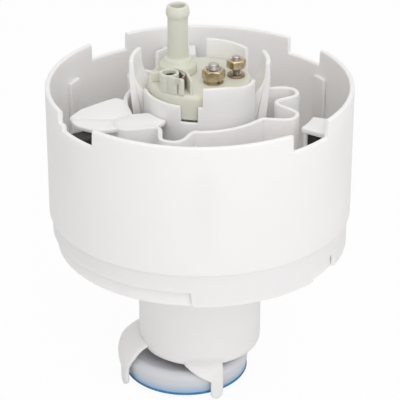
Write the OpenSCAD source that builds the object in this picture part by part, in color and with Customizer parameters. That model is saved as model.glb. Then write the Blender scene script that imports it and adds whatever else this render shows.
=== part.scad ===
// In-tank electric fuel pump in its open swirl reservoir.
// Z = 0 is the plane of the three feet, the pump axis is the Z axis.
// Directions are in degrees from the front (-Y), positive towards +X.

/* [Reservoir sleeve] */
// Outside radius of the sleeve barrel
sleeve_r = 61.4; // [59:0.2:66]
// Wall of the sleeve barrel
sleeve_wall = 2; // [1.6:0.1:2.4]
// Height of the tall rim segments above the feet
rim_z = 132.5; // [127:0.5:139]
// Drop of the rim in its slots
rim_drop = 7; // [4:0.5:10]
// Width of each rim slot, as an angle
rim_slot_deg = 18; // [10:1:24]
// Width of the half-height step beside one slot, as an angle
rim_step_deg = 3; // [1:0.5:6]
// Height of the barrel's lower edge
barrel_foot_z = 78; // [73:0.5:83]
// Step in from the barrel to the bayonet skirt under it
skirt_step = 1.2; // [1:0.1:1.8]
// Wall of the bayonet skirt
skirt_wall = 1.4; // [1.2:0.1:1.6]
// Height of the bayonet skirt
skirt_h = 8; // [6:0.5:11]
// Reach of the bayonet lugs below the skirt
lug_drop = 6.1; // [4:0.1:6.8]
// Width of a guide rail inside the sleeve
rail_w = 6; // [4:0.5:9]
// Depth of a guide rail inside the sleeve
rail_depth = 1.6; // [1:0.2:3]

/* [Reservoir pot] */
// Clearance between the skirt and the pot wall
skirt_gap = 0.3; // [0.2:0.05:0.6]
// Wall of the pot
pot_wall = 2; // [1.6:0.1:3]
// Height of the pot floor's underside
pot_floor_z = 63; // [59:0.5:63.5]
// Thickness of the pot floor
floor_t = 2.2; // [1.6:0.1:3]
// Outside radius of the neck
neck_r = 25.5; // [24.6:0.1:27]
// Wall of the neck
neck_wall = 1.8; // [1.4:0.1:2.2]
// Height of the neck's lower edge
neck_foot_z = 15; // [14:0.5:17]
// Thickness of the lip that closes the neck
neck_lip_t = 1.8; // [1.2:0.1:2.4]
// Diameter of a bayonet peg
peg_d = 3; // [2:0.2:4]

/* [Feet] */
// Width of a foot
foot_w = 5.6; // [4:0.2:8]
// Wall of the feet and of the fender that carries them
foot_wall = 1.6; // [1.2:0.1:2.4]
// Clearance between the strainer and the feet
strainer_gap = 1; // [0.8:0.1:2]

/* [Strainer] */
// Radius of the strainer
strainer_r = 26.4; // [24:0.2:28]
// How far the strainer sits to the left of the pump axis
strainer_offset = 5.9; // [4:0.1:7]
// Height of the strainer's underside
strainer_foot_z = 1.5; // [1.2:0.1:3]
// Depth of the strainer
strainer_h = 10.4; // [8:0.2:11]
// Radius of the strainer's rounded rim bead
bead_r = 3; // [2:0.1:3.6]
// Thickness of the strainer's dished cover
dish_t = 1.4; // [1:0.1:2]
// Number of ribs that spread the screen
screen_ribs = 12; // [6:1:18]

/* [Pump] */
// Outside radius of the pump can
can_r = 19; // [18.4:0.1:19.6]
// Wall of the pump can
can_wall = 0.6; // [0.5:0.05:0.8]
// Height of the can's upper edge
can_top_z = 127; // [126:0.2:127.4]
// Outside radius of the pump cap
cap_r = 20.6; // [20.3:0.1:20.8]
// Height of the cap's deck
deck_z = 135; // [134:0.2:137]
// Height of the cap skirt
cap_skirt_h = 10; // [9:0.2:11]
// Radius of the motor shaft
shaft_r = 2.5; // [2:0.1:3]
// Air gap between magnets and armature
air_gap = 0.8; // [0.5:0.1:1.2]
// Radial clearance of the running parts
run_gap = 0.05; // [0.03:0.01:0.08]
// Number of impeller vanes
vanes = 36; // [24:1:44]
// Number of armature poles
poles = 8; // [6:1:12]

/* [Outlet and terminals] */
// Outside diameter of the outlet nipple
nipple_d = 8.3; // [7.6:0.1:9]
// Diameter of the bead at the nipple's mouth
mouth_d = 9.5; // [9.2:0.1:10.4]
// Bore of the outlet nipple
nipple_bore = 5.8; // [4.8:0.1:6.2]
// Height of the nipple's mouth above the feet
nipple_top_z = 163; // [155:0.5:171]
// Radius of the collar under the nipple
collar_r = 7.6; // [7:0.1:8]
// Thread diameter of the larger terminal
big_stud_d = 5; // [4:0.5:5]
// Width across flats of the larger nut
big_nut_af = 8; // [7.5:0.5:9]
// Thread diameter of the smaller terminal
small_stud_d = 4; // [3:0.5:4]
// Width across flats of the smaller nut
small_nut_af = 7; // [6:0.5:8]
// Height of the terminals above the feet
stud_top_z = 144; // [142.5:0.5:147]
// Radius of the hollow tower on the cap
tower_r = 4.2; // [3.8:0.1:4.3]
// Height of the tower above the deck
tower_h = 6.8; // [5:0.2:8]

/* [Spring mount] */
// Outside radius of the slotted pump sleeve
holder_r = 22.5; // [22.3:0.1:23]
// Wall of the pump sleeve
holder_wall = 1.5; // [1.2:0.05:1.6]
// Height of the pump sleeve's front left petal
low_petal_z = 131.8; // [129:0.2:134]
// Height of the pump sleeve's front right petal
mid_petal_z = 139; // [136:0.2:141]
// Height of the back petals and of the flared side fingers
high_petal_z = 142.5; // [140:0.2:145]
// Radius of the spring cage between its loops
cage_r = 29.8; // [29.4:0.1:30.6]
// Radius of the spring loops
loop_r = 41; // [40:0.2:43]
// Wall of the spring cage
cage_wall = 1.8; // [1.4:0.1:2]
// Height of the cage's top edge
cage_top_z = 124.7; // [123:0.1:125]
// Depth of the spring cage
cage_h = 28; // [24:0.5:29]
// Lift and drop of the pump on its springs
float_travel = 1; // [0.5:0.1:1.2]
// Thickness of the rubber buffers
buffer_h = 12; // [8:0.5:14]

/* [Hidden] */
$fn = 96;

// Small overlap that lets a cutter pass a face
cut = 0.1;
milky = [0.93, 0.92, 0.91];
pale_green = [0.84, 0.84, 0.76];
steel = [0.75, 0.75, 0.76];
zinc_brass = [0.76, 0.67, 0.45];
black_rubber = [0.1, 0.1, 0.09];
copper = [0.72, 0.42, 0.25];

// Reservoir
sleeve_in = sleeve_r - sleeve_wall;
low_rim_z = rim_z - rim_drop;
rim_slot_dirs = [44, 132.5, 220, 309.5];
step_dir = rim_slot_dirs[3] - rim_slot_deg / 2;
step_drop = rim_drop * 2 / 3;
skirt_r = sleeve_r - skirt_step;
skirt_in = skirt_r - skirt_wall;
skirt_foot_z = barrel_foot_z - skirt_h;
lug_foot_z = skirt_foot_z - lug_drop;
lug_spans = [[-3, 48], [63, 110], [150, 215], [232, 250]];
rail_dirs = [2, 122, 242];
rail_foot_z = 89;
rail_top_z = low_rim_z - 6;
pot_r = skirt_in - skirt_gap;
pot_in = pot_r - pot_wall;
pot_top_z = barrel_foot_z - skirt_gap;
pot_floor_top = pot_floor_z + floor_t;
floor_ribs = 6;
floor_rib_w = 1.6;
floor_rib_h = 4;
port_dirs = [172, 188];
port_r = 40;
port_d = 6;
peg_dirs = [100, 182, 241];
peg_z = skirt_foot_z - 2.6;
peg_reach = 1.5;
peg_play = 0.3;
neck_in = neck_r - neck_wall;
lip_top_z = neck_foot_z + neck_lip_t;
lip_gap = 0.7;
guide_h = 8;
guide_gap = 0.3;
guide_notch_r = 1.6;
fit = 0.02;
seal_fit = 0.05;

// Feet, seen from the strainer's axis
foot_r = strainer_r + strainer_gap + foot_wall;
front_foot_dir = 16;
left_foot_dir = -62.5;
back_foot_dir = 158;
foot_flat = 0.3;
foot_run = 12.8;
left_foot_runs = [18, foot_w / 2];
front_blend_z = strainer_foot_z + strainer_h + 0.7;
front_blend_top = neck_foot_z + 1.5;
fender_rise = 17;
fender_foot_z = 10;
fender_run = 12;
flare_z = 6.5;
flare_rise = 9;
foot_top_z = 37;

// Spring cage
cage_foot_z = cage_top_z - cage_h;
loop_dirs = [85, -35, 205];
ledge_t = 2;
ledge_w = 9.5;
ledge_r = sleeve_in - 1.9;
ledge_in = ledge_r - ledge_w;
post_in = ledge_in - 0.8;
post_t = 2;
// First and last direction of each rubber buffer, and the direction of the rib beside it
buffer_spans = [[57, 69], [-67, -53], [183, 195]];
rib_dirs = [65, -57, 187];
rib_t = 2.5;
rib_h = 11;
wing_in = holder_r + 0.6;
wing_hole_dir = -43;
wing_hole_d = 1.4;
buffer_in = post_in + post_t + 0.4;
buffer_r = sleeve_in - 0.4;
buffer_gap = 0.1;
shelf_in = buffer_in + 0.2;
shelf_t = 2;
shelf_top_z = cage_top_z - ledge_t - buffer_gap - buffer_h;
shelf_z = shelf_top_z - shelf_t;
bracket_t = 2;
bracket_h = 10;
bracket_run = 9;
// Pump sleeve
holder_in = holder_r - holder_wall;
holder_foot_z = 97;
back_left_petal_z = high_petal_z - 2.5;
fin_t = 1.5;
fin_left = 5.4;
fin_right = 5;
fin_reach = 0.7;
fin_foot_z = holder_foot_z + 2;
fin_h = 14;
cap_foot_z = deck_z - cap_skirt_h;
wide_slot_z = cap_foot_z - 0.4;
slot_foot_z = wide_slot_z - 4;
// Direction, width and foot of each slot in the pump sleeve
holder_slots = [
    [-83, 1.8, slot_foot_z], [-11, 7.2, wide_slot_z], [79, 1.8, slot_foot_z],
    [115, 4, slot_foot_z], [182, 7.2, wide_slot_z], [238, 4, slot_foot_z]
];
// First and last direction of each lowered petal, and its height
low_petals = [[-83, -11, low_petal_z], [-11, 79, mid_petal_z], [182, 238, back_left_petal_z]];
side_fingers = [[81, 110], [243, 275]];
finger_foot_z = 109;
finger_knee_z = 116;
finger_reach = 3.9;
finger_flare = 5.6;
finger_t = 2;
finger_hook_z = high_petal_z - 8;
finger_open_z = high_petal_z - 14.5;
liner_foot_z = holder_foot_z + 1;
liner_top_z = slot_foot_z - 1;
liner_flutes = 12;
flute_r = 1.2;

// Pump
can_foot_z = lip_top_z + float_travel + 1.2;
can_in = can_r - can_wall;
can_roll = 1.4;
plug_r = can_in - 0.1;
plug_foot_z = 103;
magnet_h = 42;
magnet_out = can_in - 0.1;
magnet_t = 4;
magnet_half_deg = 68;
clip_t = 1;
clip_half_deg = 20;
clip_inset = 3;
armature_r = magnet_out - magnet_t - air_gap;
commutator_foot_z = 95;
commutator_h = 6;
commutator_r = 11.5;
commutator_top = commutator_foot_z + commutator_h;
brush_off = 8;
brush_w = 5;
brush_h = 10;
brush_play = 0.2;
brush_foot_z = commutator_top + 0.1;
brush_roof_z = 121;
bush_r = 5;
upper_bush_z = plug_foot_z + 2;
bush_h = 7;
cover_top_z = can_foot_z + 7;
impeller_gap = 0.3;
impeller_z = cover_top_z + impeller_gap;
impeller_h = 3.6;
impeller_r = 15;
plate_roof_z = impeller_z + impeller_h + impeller_gap;
plate_t = 4.8;
groove_r = impeller_r - 1.8;
groove_w = 2.8;
groove_depth = 1.4;
groove_deg = 300;
pump_port_d = 3;
duct_w = 2.4;
duct_h = 2.5;
duct_roof_z = cover_top_z - 2.5;
magnet_foot_z = plate_roof_z + plate_t + 12;
core_foot_z = magnet_foot_z + 4;
core_h = magnet_h - 8;
lower_bush_r = bush_r - 1;
lower_bush_z = plate_roof_z + 1;
slot_share = 0.68;
slot_hole_r = armature_r * 0.16;
slot_w = 1.2;
end_turn_h = 6.5;
impeller_hole_at = 7;
spigot_r = 7;
spigot_wall = 1.4;
strainer_top_z = strainer_foot_z + strainer_h;
spigot_foot_z = strainer_top_z - 4.5;
socket_wall = 1.6;
dish_z = strainer_top_z - 5;
dish_run = 7;
screen_t = 0.8;
screen_rib_w = 1;
screen_rib_h = 2;
screen_rib_in = 15;

// Outlet, valves and terminals, on the cap
outlet_x = -8.7;
outlet_y = 5.6;
outlet_in = 2.6;
valve_r = 5;
valve_gap = 0.1;
poppet_rim_h = 1.6;
seat_z = 125;
poppet_h = 4;
nipple_plug_z = deck_z - 2;
collar_h = 6;
relief_x = 4;
relief_y = 14;
relief_bore = 2.6;
relief_in = 1.5;
relief_out = 0.9;
relief_lift_gap = 0.1;
relief_depth = 14;
relief_seat_z = deck_z - relief_depth;
relief_ball_r = 2.2;
relief_plug_h = 2.5;
tower_at = [-11.2, -11.8];
tower_wall = 1.2;
tower_floor = 0.8;
tower_top_z = deck_z + tower_h;
wing_wall_r = cap_r - 0.4;
wing_wall_t = 1.1;
wing_wall_dirs = [-38, -18];
tower_slot_dir = -25.5;
tower_slot_w = 0.9;
tower_slot_h = 3.4;
guard_gap = 1.9;
guard_wall = 1.1;
guard_r = tower_r + guard_gap + guard_wall / 2;
guard_left = [[-19.2, -5], [-16, -5.2]];
guard_end = [-3.2, -18.2];
guard_path = concat(guard_left, [for (dir = [190:-20:90]) tower_at + at(guard_r, dir)], [guard_end]);
deck_hole_at = [-16.6, -8.2];
deck_hole_d = 1.6;
strap_t = 0.8;
strap_drop = 0.5;
strap_lip = 0.4;
core_gap = 0.4;
core_drop = 1.6;
big_x = 5.4;
big_y = -5.8;
small_x = 14.4;
small_y = 0.4;
washer_t = 0.5;
lock_t = 0.8;
big_nut_h = 4;
small_nut_h = 3.2;
small_washer_t = 1;
small_nut_rise = 3.7;
small_nut_z = deck_z + small_nut_rise;
stud_root_z = 128;
stud_foot_h = 1.5;
point_share = 0.8;
point_round = 0.4;
shoulder_gap = 0.2;
big_nut_top = deck_z + washer_t + lock_t + big_nut_h;
small_nut_top = small_nut_z + small_nut_h;
big_foot_r = 4;
small_foot_r = 3.2;

// Point at a radius and a direction from the front
function at(r, dir) = [r * sin(dir), -r * cos(dir)];
function unit(v) = v / norm(v);
function left_of(v) = [-v[1], v[0]];

// Points of a closed path with each corner drawn as a short curve
function corner(a, v, b, d, n) =
    let (
        p = v + unit(a - v) * min(d, norm(a - v) * 0.45),
        q = v + unit(b - v) * min(d, norm(b - v) * 0.45)
    )
    [for (i = [0:n]) let (t = i / n) p * (1 - t) * (1 - t) + v * 2 * t * (1 - t) + q * t * t];
function rounded_loop(path, d, n) =
    let (m = len(path))
    [for (k = [0:m - 1], p = corner(path[(k + m - 1) % m], path[k], path[(k + 1) % m], d, n)) p];
// The path moved sideways by half a wall
function beside(path, d) =
    let (m = len(path))
    [for (k = [0:m - 1])
        path[k] + left_of(unit(path[(k + 1) % m] - path[(k + m - 1) % m])) * d];

// Outline of a strip of one width along an open path
function one_side(path, d) =
    let (last = len(path) - 1)
    [for (k = [0:last])
        path[k] + left_of(unit(path[min(k + 1, last)] - path[max(k - 1, 0)])) * d];
function backwards(path) = [for (k = [len(path) - 1:-1:0]) path[k]];
function strip(path, t) = concat(one_side(path, t / 2), backwards(one_side(path, -t / 2)));

// One third of the cage: the wall goes out in a loop, folds in to a valley, goes out and returns
function cage_third(dir) = [
    at(cage_r, dir - 33),
    at(cage_r + 0.6, dir - 29),
    at(cage_r + 5.4, dir - 26),
    at(loop_r - 1, dir - 22),
    at(loop_r, dir - 16),
    at(loop_r - 1, dir - 11.5),
    at(loop_r - 5, dir - 7),
    at(cage_r + 1.9, dir - 2.5),
    at(cage_r + 0.5, dir + 2),
    at(cage_r + 1.5, dir + 6),
    at(cage_r + 5.2, dir + 9),
    at(loop_r - 1.6, dir + 12.5),
    at(loop_r - 0.8, dir + 17),
    at(loop_r - 1.2, dir + 22),
    at(loop_r - 4, dir + 26),
    at(cage_r + 1.6, dir + 28.5),
    at(cage_r - 0.6, dir + 31),
    at(cage_r, dir + 36),
    at(cage_r, dir + 45),
    at(cage_r, dir + 54),
    at(cage_r, dir + 64),
    at(cage_r, dir + 75)
];
cage_path = rounded_loop([for (d = [-35, 85, 205], p = cage_third(d)) p], 2.4, 4);

// Ring or part of a ring between two radii, two directions and two heights
module arc_wall(r_in, r_out, from, to, low, high) {
    rotate([0, 0, from - 90])
        rotate_extrude(angle = to - from)
            translate([r_in, low])
                square([r_out - r_in, high - low]);
}

module tube(r_in, r_out, low, high) {
    difference() {
        translate([0, 0, low])
            cylinder(r = r_out, h = high - low);
        translate([0, 0, low - cut])
            cylinder(r = r_in, h = high - low + 2 * cut);
    }
}

module rod(r, low, high) {
    translate([0, 0, low])
        cylinder(r = r, h = high - low);
}

// Compression spring with closed ends, swept as one coil
module coil_spring(r, wire_r, low, high, turns) {
    sides = 6;
    per_turn = 12;
    rings = turns * per_turn;
    rise = high - low - 2 * wire_r;
    points = [for (i = [0:rings], j = [0:sides - 1])
        let (
            a = 360 * i / per_turn,
            s = 360 * j / sides,
            q = r + wire_r * cos(s)
        )
        [q * cos(a), q * sin(a), low + wire_r + rise * i / rings + wire_r * sin(s)]];
    walls = [for (i = [0:rings - 1], j = [0:sides - 1])
        let (n = (j + 1) % sides)
        [i * sides + j, i * sides + n, (i + 1) * sides + n, (i + 1) * sides + j]];
    first = [for (j = [sides - 1:-1:0]) j];
    last = [for (j = [0:sides - 1]) rings * sides + j];
    polyhedron(points = points, faces = concat(walls, [first], [last]), convexity = 6);
}

module hex_nut(af, bore, low, high) {
    difference() {
        intersection() {
            translate([0, 0, low])
                cylinder(d = af / cos(30), h = high - low, $fn = 6);
            rotate_extrude()
                polygon([
                    [0, low], [af / 2, low], [af / 2 / cos(30), low + 0.5],
                    [af / 2 / cos(30), high - 0.5], [af / 2, high], [0, high]
                ]);
        }
        translate([0, 0, low - cut])
            cylinder(r = bore, h = high - low + 2 * cut);
    }
}

// Milky barrel with its castellated rim, bayonet skirt and lugs
module outer_sleeve() {
    color(milky)
    difference() {
        union() {
            rotate_extrude()
                polygon([
                    [skirt_in, lug_foot_z], [skirt_r, lug_foot_z], [skirt_r, barrel_foot_z],
                    [sleeve_r, barrel_foot_z], [sleeve_r, rim_z], [sleeve_in, rim_z],
                    [sleeve_in, barrel_foot_z + sleeve_wall], [skirt_in, barrel_foot_z + sleeve_wall]
                ]);
            for (dir = rail_dirs)
                sleeve_rail(dir);
            for (span = buffer_spans)
                buffer_shelf(span);
        }
        for (k = [0:3])
            lug_gap(lug_spans[k][1], lug_spans[(k + 1) % 4][0] + (k == 3 ? 360 : 0));
        for (dir = rim_slot_dirs)
            arc_wall(sleeve_in - 1, sleeve_r + 1, dir - rim_slot_deg / 2, dir + rim_slot_deg / 2,
                low_rim_z, rim_z + 1);
        arc_wall(sleeve_in - 1, sleeve_r + 1, step_dir - rim_step_deg, step_dir + 1,
            rim_z - step_drop, rim_z + 1);
        for (dir = peg_dirs)
            rotate([0, 0, dir])
                translate([0, -skirt_r + 2, peg_z])
                    rotate([90, 0, 0])
                        cylinder(d = peg_d + 2 * peg_play, h = 4);
    }
}

module lug_gap(from, to) {
    arc_wall(skirt_in - 1, skirt_r + 1, from, to, lug_foot_z - 1, skirt_foot_z);
}

module sleeve_rail(dir) {
    root = sleeve_wall / 4;
    rotate([0, 0, dir])
        translate([-rail_w / 2, -sleeve_in - root, rail_foot_z])
            cube([rail_w, rail_depth + root, rail_top_z - rail_foot_z]);
}

// Shelf that carries a rubber buffer, with two brackets under it
module buffer_shelf(span) {
    root = sleeve_wall / 4;
    arc_wall(shelf_in, sleeve_in + root, span[0] - 1, span[1] + 1, shelf_z, shelf_top_z);
    for (dir = [span[0] + 1, span[1] - 1])
        rotate([0, 0, dir])
            translate([-bracket_t / 2, -sleeve_in - root, shelf_z])
                rotate([90, 0, 90])
                    linear_extrude(bracket_t)
                        polygon([[0, cut], [0, -bracket_h], [bracket_run, cut]]);
}

// Lower pot: wall, floor, neck, fender and feet
module reservoir_pot() {
    color(milky)
    difference() {
        union() {
            tube(pot_in, pot_r, pot_floor_z, pot_top_z);
            tube(neck_in, pot_r - pot_wall / 2, pot_floor_z, pot_floor_top);
            tube(neck_in, neck_r, neck_foot_z, pot_floor_top);
            tube(can_r + lip_gap, neck_r - neck_wall / 2, neck_foot_z, lip_top_z);
            pot_floor_ribs();
            for (dir = peg_dirs)
                rotate([0, 0, dir])
                    translate([0, -pot_in - pot_wall / 2, peg_z])
                        rotate([90, 0, 0])
                            cylinder(d = peg_d, h = pot_wall / 2 + peg_reach);
            difference() {
                feet();
                rod(neck_in, neck_foot_z - cut, pot_floor_z);
            }
        }
        floor_ports();
    }
}

// Stiffening ribs on the floor inside the pot
module pot_floor_ribs() {
    for (k = [0:floor_ribs - 1])
        rotate([0, 0, 360 * (k + 0.5) / floor_ribs])
            translate([-floor_rib_w / 2, -pot_in - cut, pot_floor_top - cut])
                cube([floor_rib_w, pot_in - neck_in, floor_rib_h]);
}

// Refill ports through the floor, on the hidden side
module floor_ports() {
    for (dir = port_dirs)
        rotate([0, 0, dir])
            translate([0, -port_r, 0])
                rod(port_d / 2, pot_floor_z - 1, pot_floor_top + floor_rib_h);
}

// Shell of revolution about the strainer's axis, bulging out from the neck
module fender_shell() {
    arc_in = foot_r - fender_run;
    outer = [for (i = [0:9]) let (a = 10 * i)
        [arc_in + fender_run * cos(a), fender_foot_z + fender_rise * sin(a)]];
    inner = [for (i = [9:-1:0]) let (a = 10 * i)
        [arc_in + (fender_run - foot_wall) * cos(a),
            fender_foot_z + (fender_rise - foot_wall) * sin(a)]];
    rotate_extrude()
        polygon(concat([[foot_r - foot_wall, 0], [foot_r, 0]], outer, inner));
}

// Outline of one foot: a round toe below, flaring up to the neck on each side
module foot_outline(left_run, right_run) {
    toe = foot_w / 2;
    translate([0, toe - foot_flat])
        circle(r = toe);
    polygon([
        [-toe, toe - foot_flat], [toe, toe - foot_flat], [toe, flare_z],
        [right_run, flare_z + flare_rise], [right_run, foot_top_z],
        [-left_run, foot_top_z], [-left_run, flare_z + flare_rise], [-toe, flare_z]
    ]);
}

// Form of the front foot: round about the strainer below, and blended into the neck above it
module front_form(inset) {
    steps = 6;
    translate([-strainer_offset, 0, 0])
        rod(foot_r - inset, -inset, front_blend_z);
    for (k = [0:steps - 1])
        hull() {
            front_slice(k / steps, inset);
            front_slice((k + 1) / steps, inset);
        }
}

module front_slice(share, inset) {
    ease = (1 + cos(180 * share)) / 2;
    low = front_blend_z + (front_blend_top - front_blend_z) * share;
    translate([-strainer_offset * ease, 0, 0])
        rod(neck_r + (foot_r - neck_r) * ease - inset, low - cut, low);
}

module foot_block(dir, left_run, right_run) {
    rotate([0, 0, dir])
        rotate([90, 0, 0])
            linear_extrude(foot_r + 5)
                foot_outline(left_run, right_run);
}

module feet() {
    intersection() {
        difference() {
            front_form(0);
            front_form(foot_wall);
        }
        foot_block(front_foot_dir, foot_run, foot_w / 2);
    }
    translate([-strainer_offset, 0, 0])
        intersection() {
            fender_shell();
            union() {
                foot_block(left_foot_dir, left_foot_runs[0], left_foot_runs[1]);
                foot_block(back_foot_dir, foot_run, foot_run);
            }
        }
}

// Springy cage: one meandering wall with three folded loops, and the arms that carry it
module spring_cage() {
    color(milky)
    union() {
        translate([0, 0, cage_foot_z])
            linear_extrude(cage_h)
                cage_ring();
        translate([0, 0, cage_top_z - ledge_t])
            linear_extrude(ledge_t)
                left_wing();
        for (k = [0:2])
            cage_arm(buffer_spans[k], rib_dirs[k]);
    }
}

module cage_ring() {
    difference() {
        polygon(beside(cage_path, -cage_wall / 2));
        polygon(beside(cage_path, cage_wall / 2));
    }
}

// Arm of the cage: a rib out from the loop, a post behind the buffer and a ledge over it
module cage_arm(span, rib_dir) {
    rotate([0, 0, rib_dir])
        translate([-rib_t / 2, -post_in - post_t / 2, cage_foot_z])
            cube([rib_t, post_in + post_t / 2 - loop_r + 1, rib_h]);
    arc_wall(post_in, post_in + post_t, span[0] + 1, span[1] - 1, cage_foot_z, cage_top_z);
    arc_wall(post_in, ledge_r, span[0] - 1, span[1] + 1, cage_top_z - ledge_t, cage_top_z);
}

// Flat wing at the left that ties the ring, the near loop and the ledge together
module left_wing() {
    near = buffer_spans[1][1];
    difference() {
        polygon(concat(
            [at(cage_r + 1.4, -93), at(ledge_in + 3.4, -75), at(ledge_r - 2.6, -74), at(ledge_r - 0.5, -72)],
            [for (dir = [-70:4:near]) at(ledge_r, dir)],
            [at(ledge_in + 2, near + 1), at(loop_r + 2.5, near + 1.7), at(loop_r + 0.6, near + 3)],
            [at(loop_r - 3, -45), at(cage_r + 3.6, -39), at(cage_r + 1, -34)],
            [for (dir = [-34:-5:-59]) at(wing_in, dir)],
            [for (dir = [-64:-6:-88]) at(cage_r, dir)]
        ));
        translate(at(cage_r + 2.7, wing_hole_dir))
            circle(d = wing_hole_d, $fn = 24);
    }
}

// Black rubber pads between the cage's ledges and the sleeve's shelves
module rubber_buffers() {
    color(black_rubber)
    for (span = buffer_spans)
        arc_wall(buffer_in, buffer_r, span[0], span[1], shelf_top_z, shelf_top_z + buffer_h);
}

// Rubber ring that steadies the pump in the neck
module guide_ring() {
    color(black_rubber)
    difference() {
        tube(can_r + guide_gap, neck_in - seal_fit, lip_top_z, lip_top_z + guide_h);
        for (k = [0:7])
            rotate([0, 0, 45 * k])
                translate([neck_in - guide_notch_r / 2, 0, 0])
                    rod(guide_notch_r, lip_top_z - 1, lip_top_z + guide_h + 1);
    }
}

// Slotted sleeve that grips the pump: petals of three heights and two flared side fingers
module pump_sleeve() {
    color(milky)
    difference() {
        union() {
            difference() {
                tube(holder_in, holder_r, holder_foot_z, high_petal_z);
                for (petal = low_petals)
                    arc_wall(holder_in - 1, holder_r + 1, petal[0], petal[1], petal[2], high_petal_z + 1);
                for (span = side_fingers)
                    arc_wall(holder_in - 1, holder_r + 1, span[0] - 2, span[1] + 2,
                        finger_open_z, high_petal_z + 1);
            }
            for (span = side_fingers)
                side_finger(span[0], span[1]);
            for (dir = loop_dirs)
                holder_fork(dir);
        }
        for (slot = holder_slots)
            holder_slot(slot[0], slot[1], slot[2]);
    }
}

// Finger that leans out past the cap: a thick foot outside the sleeve and a thin upright top
module side_finger(from, to) {
    out = holder_r + finger_flare;
    rotate([0, 0, from - 90])
        rotate_extrude(angle = to - from)
            polygon([
                [holder_in, finger_foot_z], [holder_r, finger_foot_z],
                [holder_r + finger_reach, finger_knee_z], [out, finger_hook_z],
                [out - 0.2, high_petal_z - 0.5], [out - 0.7, high_petal_z],
                [out - finger_t, high_petal_z], [out - finger_t - 0.4, finger_hook_z],
                [holder_in + 0.4, finger_open_z], [holder_in, finger_open_z - 1]
            ]);
}

module holder_slot(dir, w, foot) {
    rotate([0, 0, dir])
        translate([-w / 2, -holder_r - 1, foot])
            cube([w, holder_wall + 2, 40]);
}

// Two fins that straddle the tip of a cage finger, so the pump can float up and down
module holder_fork(dir) {
    rotate([0, 0, dir])
        for (x = [-fin_left, fin_right])
            translate([x, -cage_r - fin_reach, fin_foot_z])
                cube([fin_t, cage_r + fin_reach - holder_r + holder_wall / 2, fin_h]);
}

// Rubber liner between the pump and its sleeve
module rubber_liner() {
    color(black_rubber)
    difference() {
        tube(can_r + fit, holder_in - seal_fit, liner_foot_z, liner_top_z);
        for (k = [0:liner_flutes - 1])
            rotate([0, 0, 360 * k / liner_flutes])
                translate([holder_in + 0.2, 0, 0])
                    rod(flute_r, liner_foot_z - 1, liner_top_z + 1);
    }
}

// Drawn steel can, rolled in at the bottom over the inlet cover
module pump_can() {
    color(steel)
    rotate_extrude()
        polygon([
            [can_in, can_foot_z], [can_r, can_foot_z + can_wall], [can_r, can_top_z],
            [can_in, can_top_z], [can_in, can_foot_z + can_wall],
            [can_in - can_roll, can_foot_z + can_wall], [can_in - can_roll, can_foot_z]
        ]);
}

// Pump cap: a plug in the can, a skirt round it and the deck with its tower and bosses
module pump_cap() {
    color(pale_green)
    difference() {
        union() {
            cap_body();
            translate(tower_at)
                rod(tower_r, deck_z - 1, tower_top_z);
            arc_wall(wing_wall_r - wing_wall_t, wing_wall_r, wing_wall_dirs[0], wing_wall_dirs[1],
                deck_z - 1, tower_top_z);
            intersection() {
                tower_guard();
                rod(cap_r, deck_z - 1, tower_top_z);
            }
        }
        tube(can_in - seal_fit, can_r + seal_fit, cap_foot_z - cut, can_top_z + cut);
        translate([outlet_x, outlet_y, 0])
            outlet_chamber();
        translate([relief_x, relief_y, 0])
            relief_chamber();
        for (side = [-1, 1])
            brush_well(side);
        rod(shaft_r + 0.5, plug_foot_z - 1, upper_bush_z + bush_h + 4);
        rod(bush_r + fit, plug_foot_z - 1, upper_bush_z + bush_h);
        terminal_holes();
        translate(tower_at)
            rod(tower_r - tower_wall, deck_z + tower_floor, tower_top_z + cut);
        rotate([0, 0, tower_slot_dir])
            translate([-tower_slot_w / 2, -cap_r, deck_z + tower_floor])
                cube([tower_slot_w, 2 * wing_wall_t, tower_slot_h]);
        translate(deck_hole_at)
            rod(deck_hole_d / 2, deck_z - 2.5, deck_z + 1);
    }
}

module cap_body() {
    lip = 1;
    rotate_extrude()
        union() {
            polygon([
                [0, plug_foot_z], [plug_r, plug_foot_z], [plug_r, cap_foot_z], [cap_r, cap_foot_z],
                [cap_r, deck_z - lip], [cap_r - lip, deck_z], [0, deck_z]
            ]);
            translate([cap_r - lip, deck_z - lip])
                circle(r = lip, $fn = 32);
        }
}

// Curved guard that stands round the tower and leaves a channel for the contact strap
module tower_guard() {
    translate([0, 0, deck_z - 1])
        linear_extrude(tower_h + 1)
            polygon(strip(guard_path, guard_wall));
}

module outlet_chamber() {
    rod(outlet_in, plug_foot_z - 1, seat_z + 1);
    rod(valve_r, seat_z, deck_z + 1);
}

module relief_chamber() {
    rod(relief_in, plug_foot_z - 1, relief_seat_z + 1);
    rod(relief_bore, relief_seat_z, deck_z + 1);
}

module brush_well(side) {
    w = brush_w + 2 * brush_play;
    translate([-w / 2, side * brush_off - w / 2, plug_foot_z - 1])
        cube([w, w, brush_roof_z - plug_foot_z + 1]);
}

module terminal_holes() {
    translate([big_x, big_y, 0])
        stud_hole(big_stud_d / 2, big_foot_r);
    translate([small_x, small_y, 0])
        stud_hole(small_stud_d / 2, small_foot_r);
}

module stud_hole(r, foot_r) {
    rod(foot_r + fit, stud_root_z - fit, stud_root_z + stud_foot_h + fit);
    rod(r + fit, stud_root_z, deck_z + cut);
}

// Terminal stud: a round foot moulded into the cap, a threaded shank and a plain point over the nut
module stud_shape(r, foot_r, nut_top) {
    low = nut_top + shoulder_gap;
    point_r = r * point_share;
    rotate_extrude()
        polygon([
            [0, stud_root_z], [foot_r, stud_root_z], [foot_r, stud_root_z + stud_foot_h],
            [r, stud_root_z + stud_foot_h], [r, low], [point_r, low + r - point_r],
            [point_r, stud_top_z - point_round], [point_r - point_round, stud_top_z], [0, stud_top_z]
        ]);
}

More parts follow.
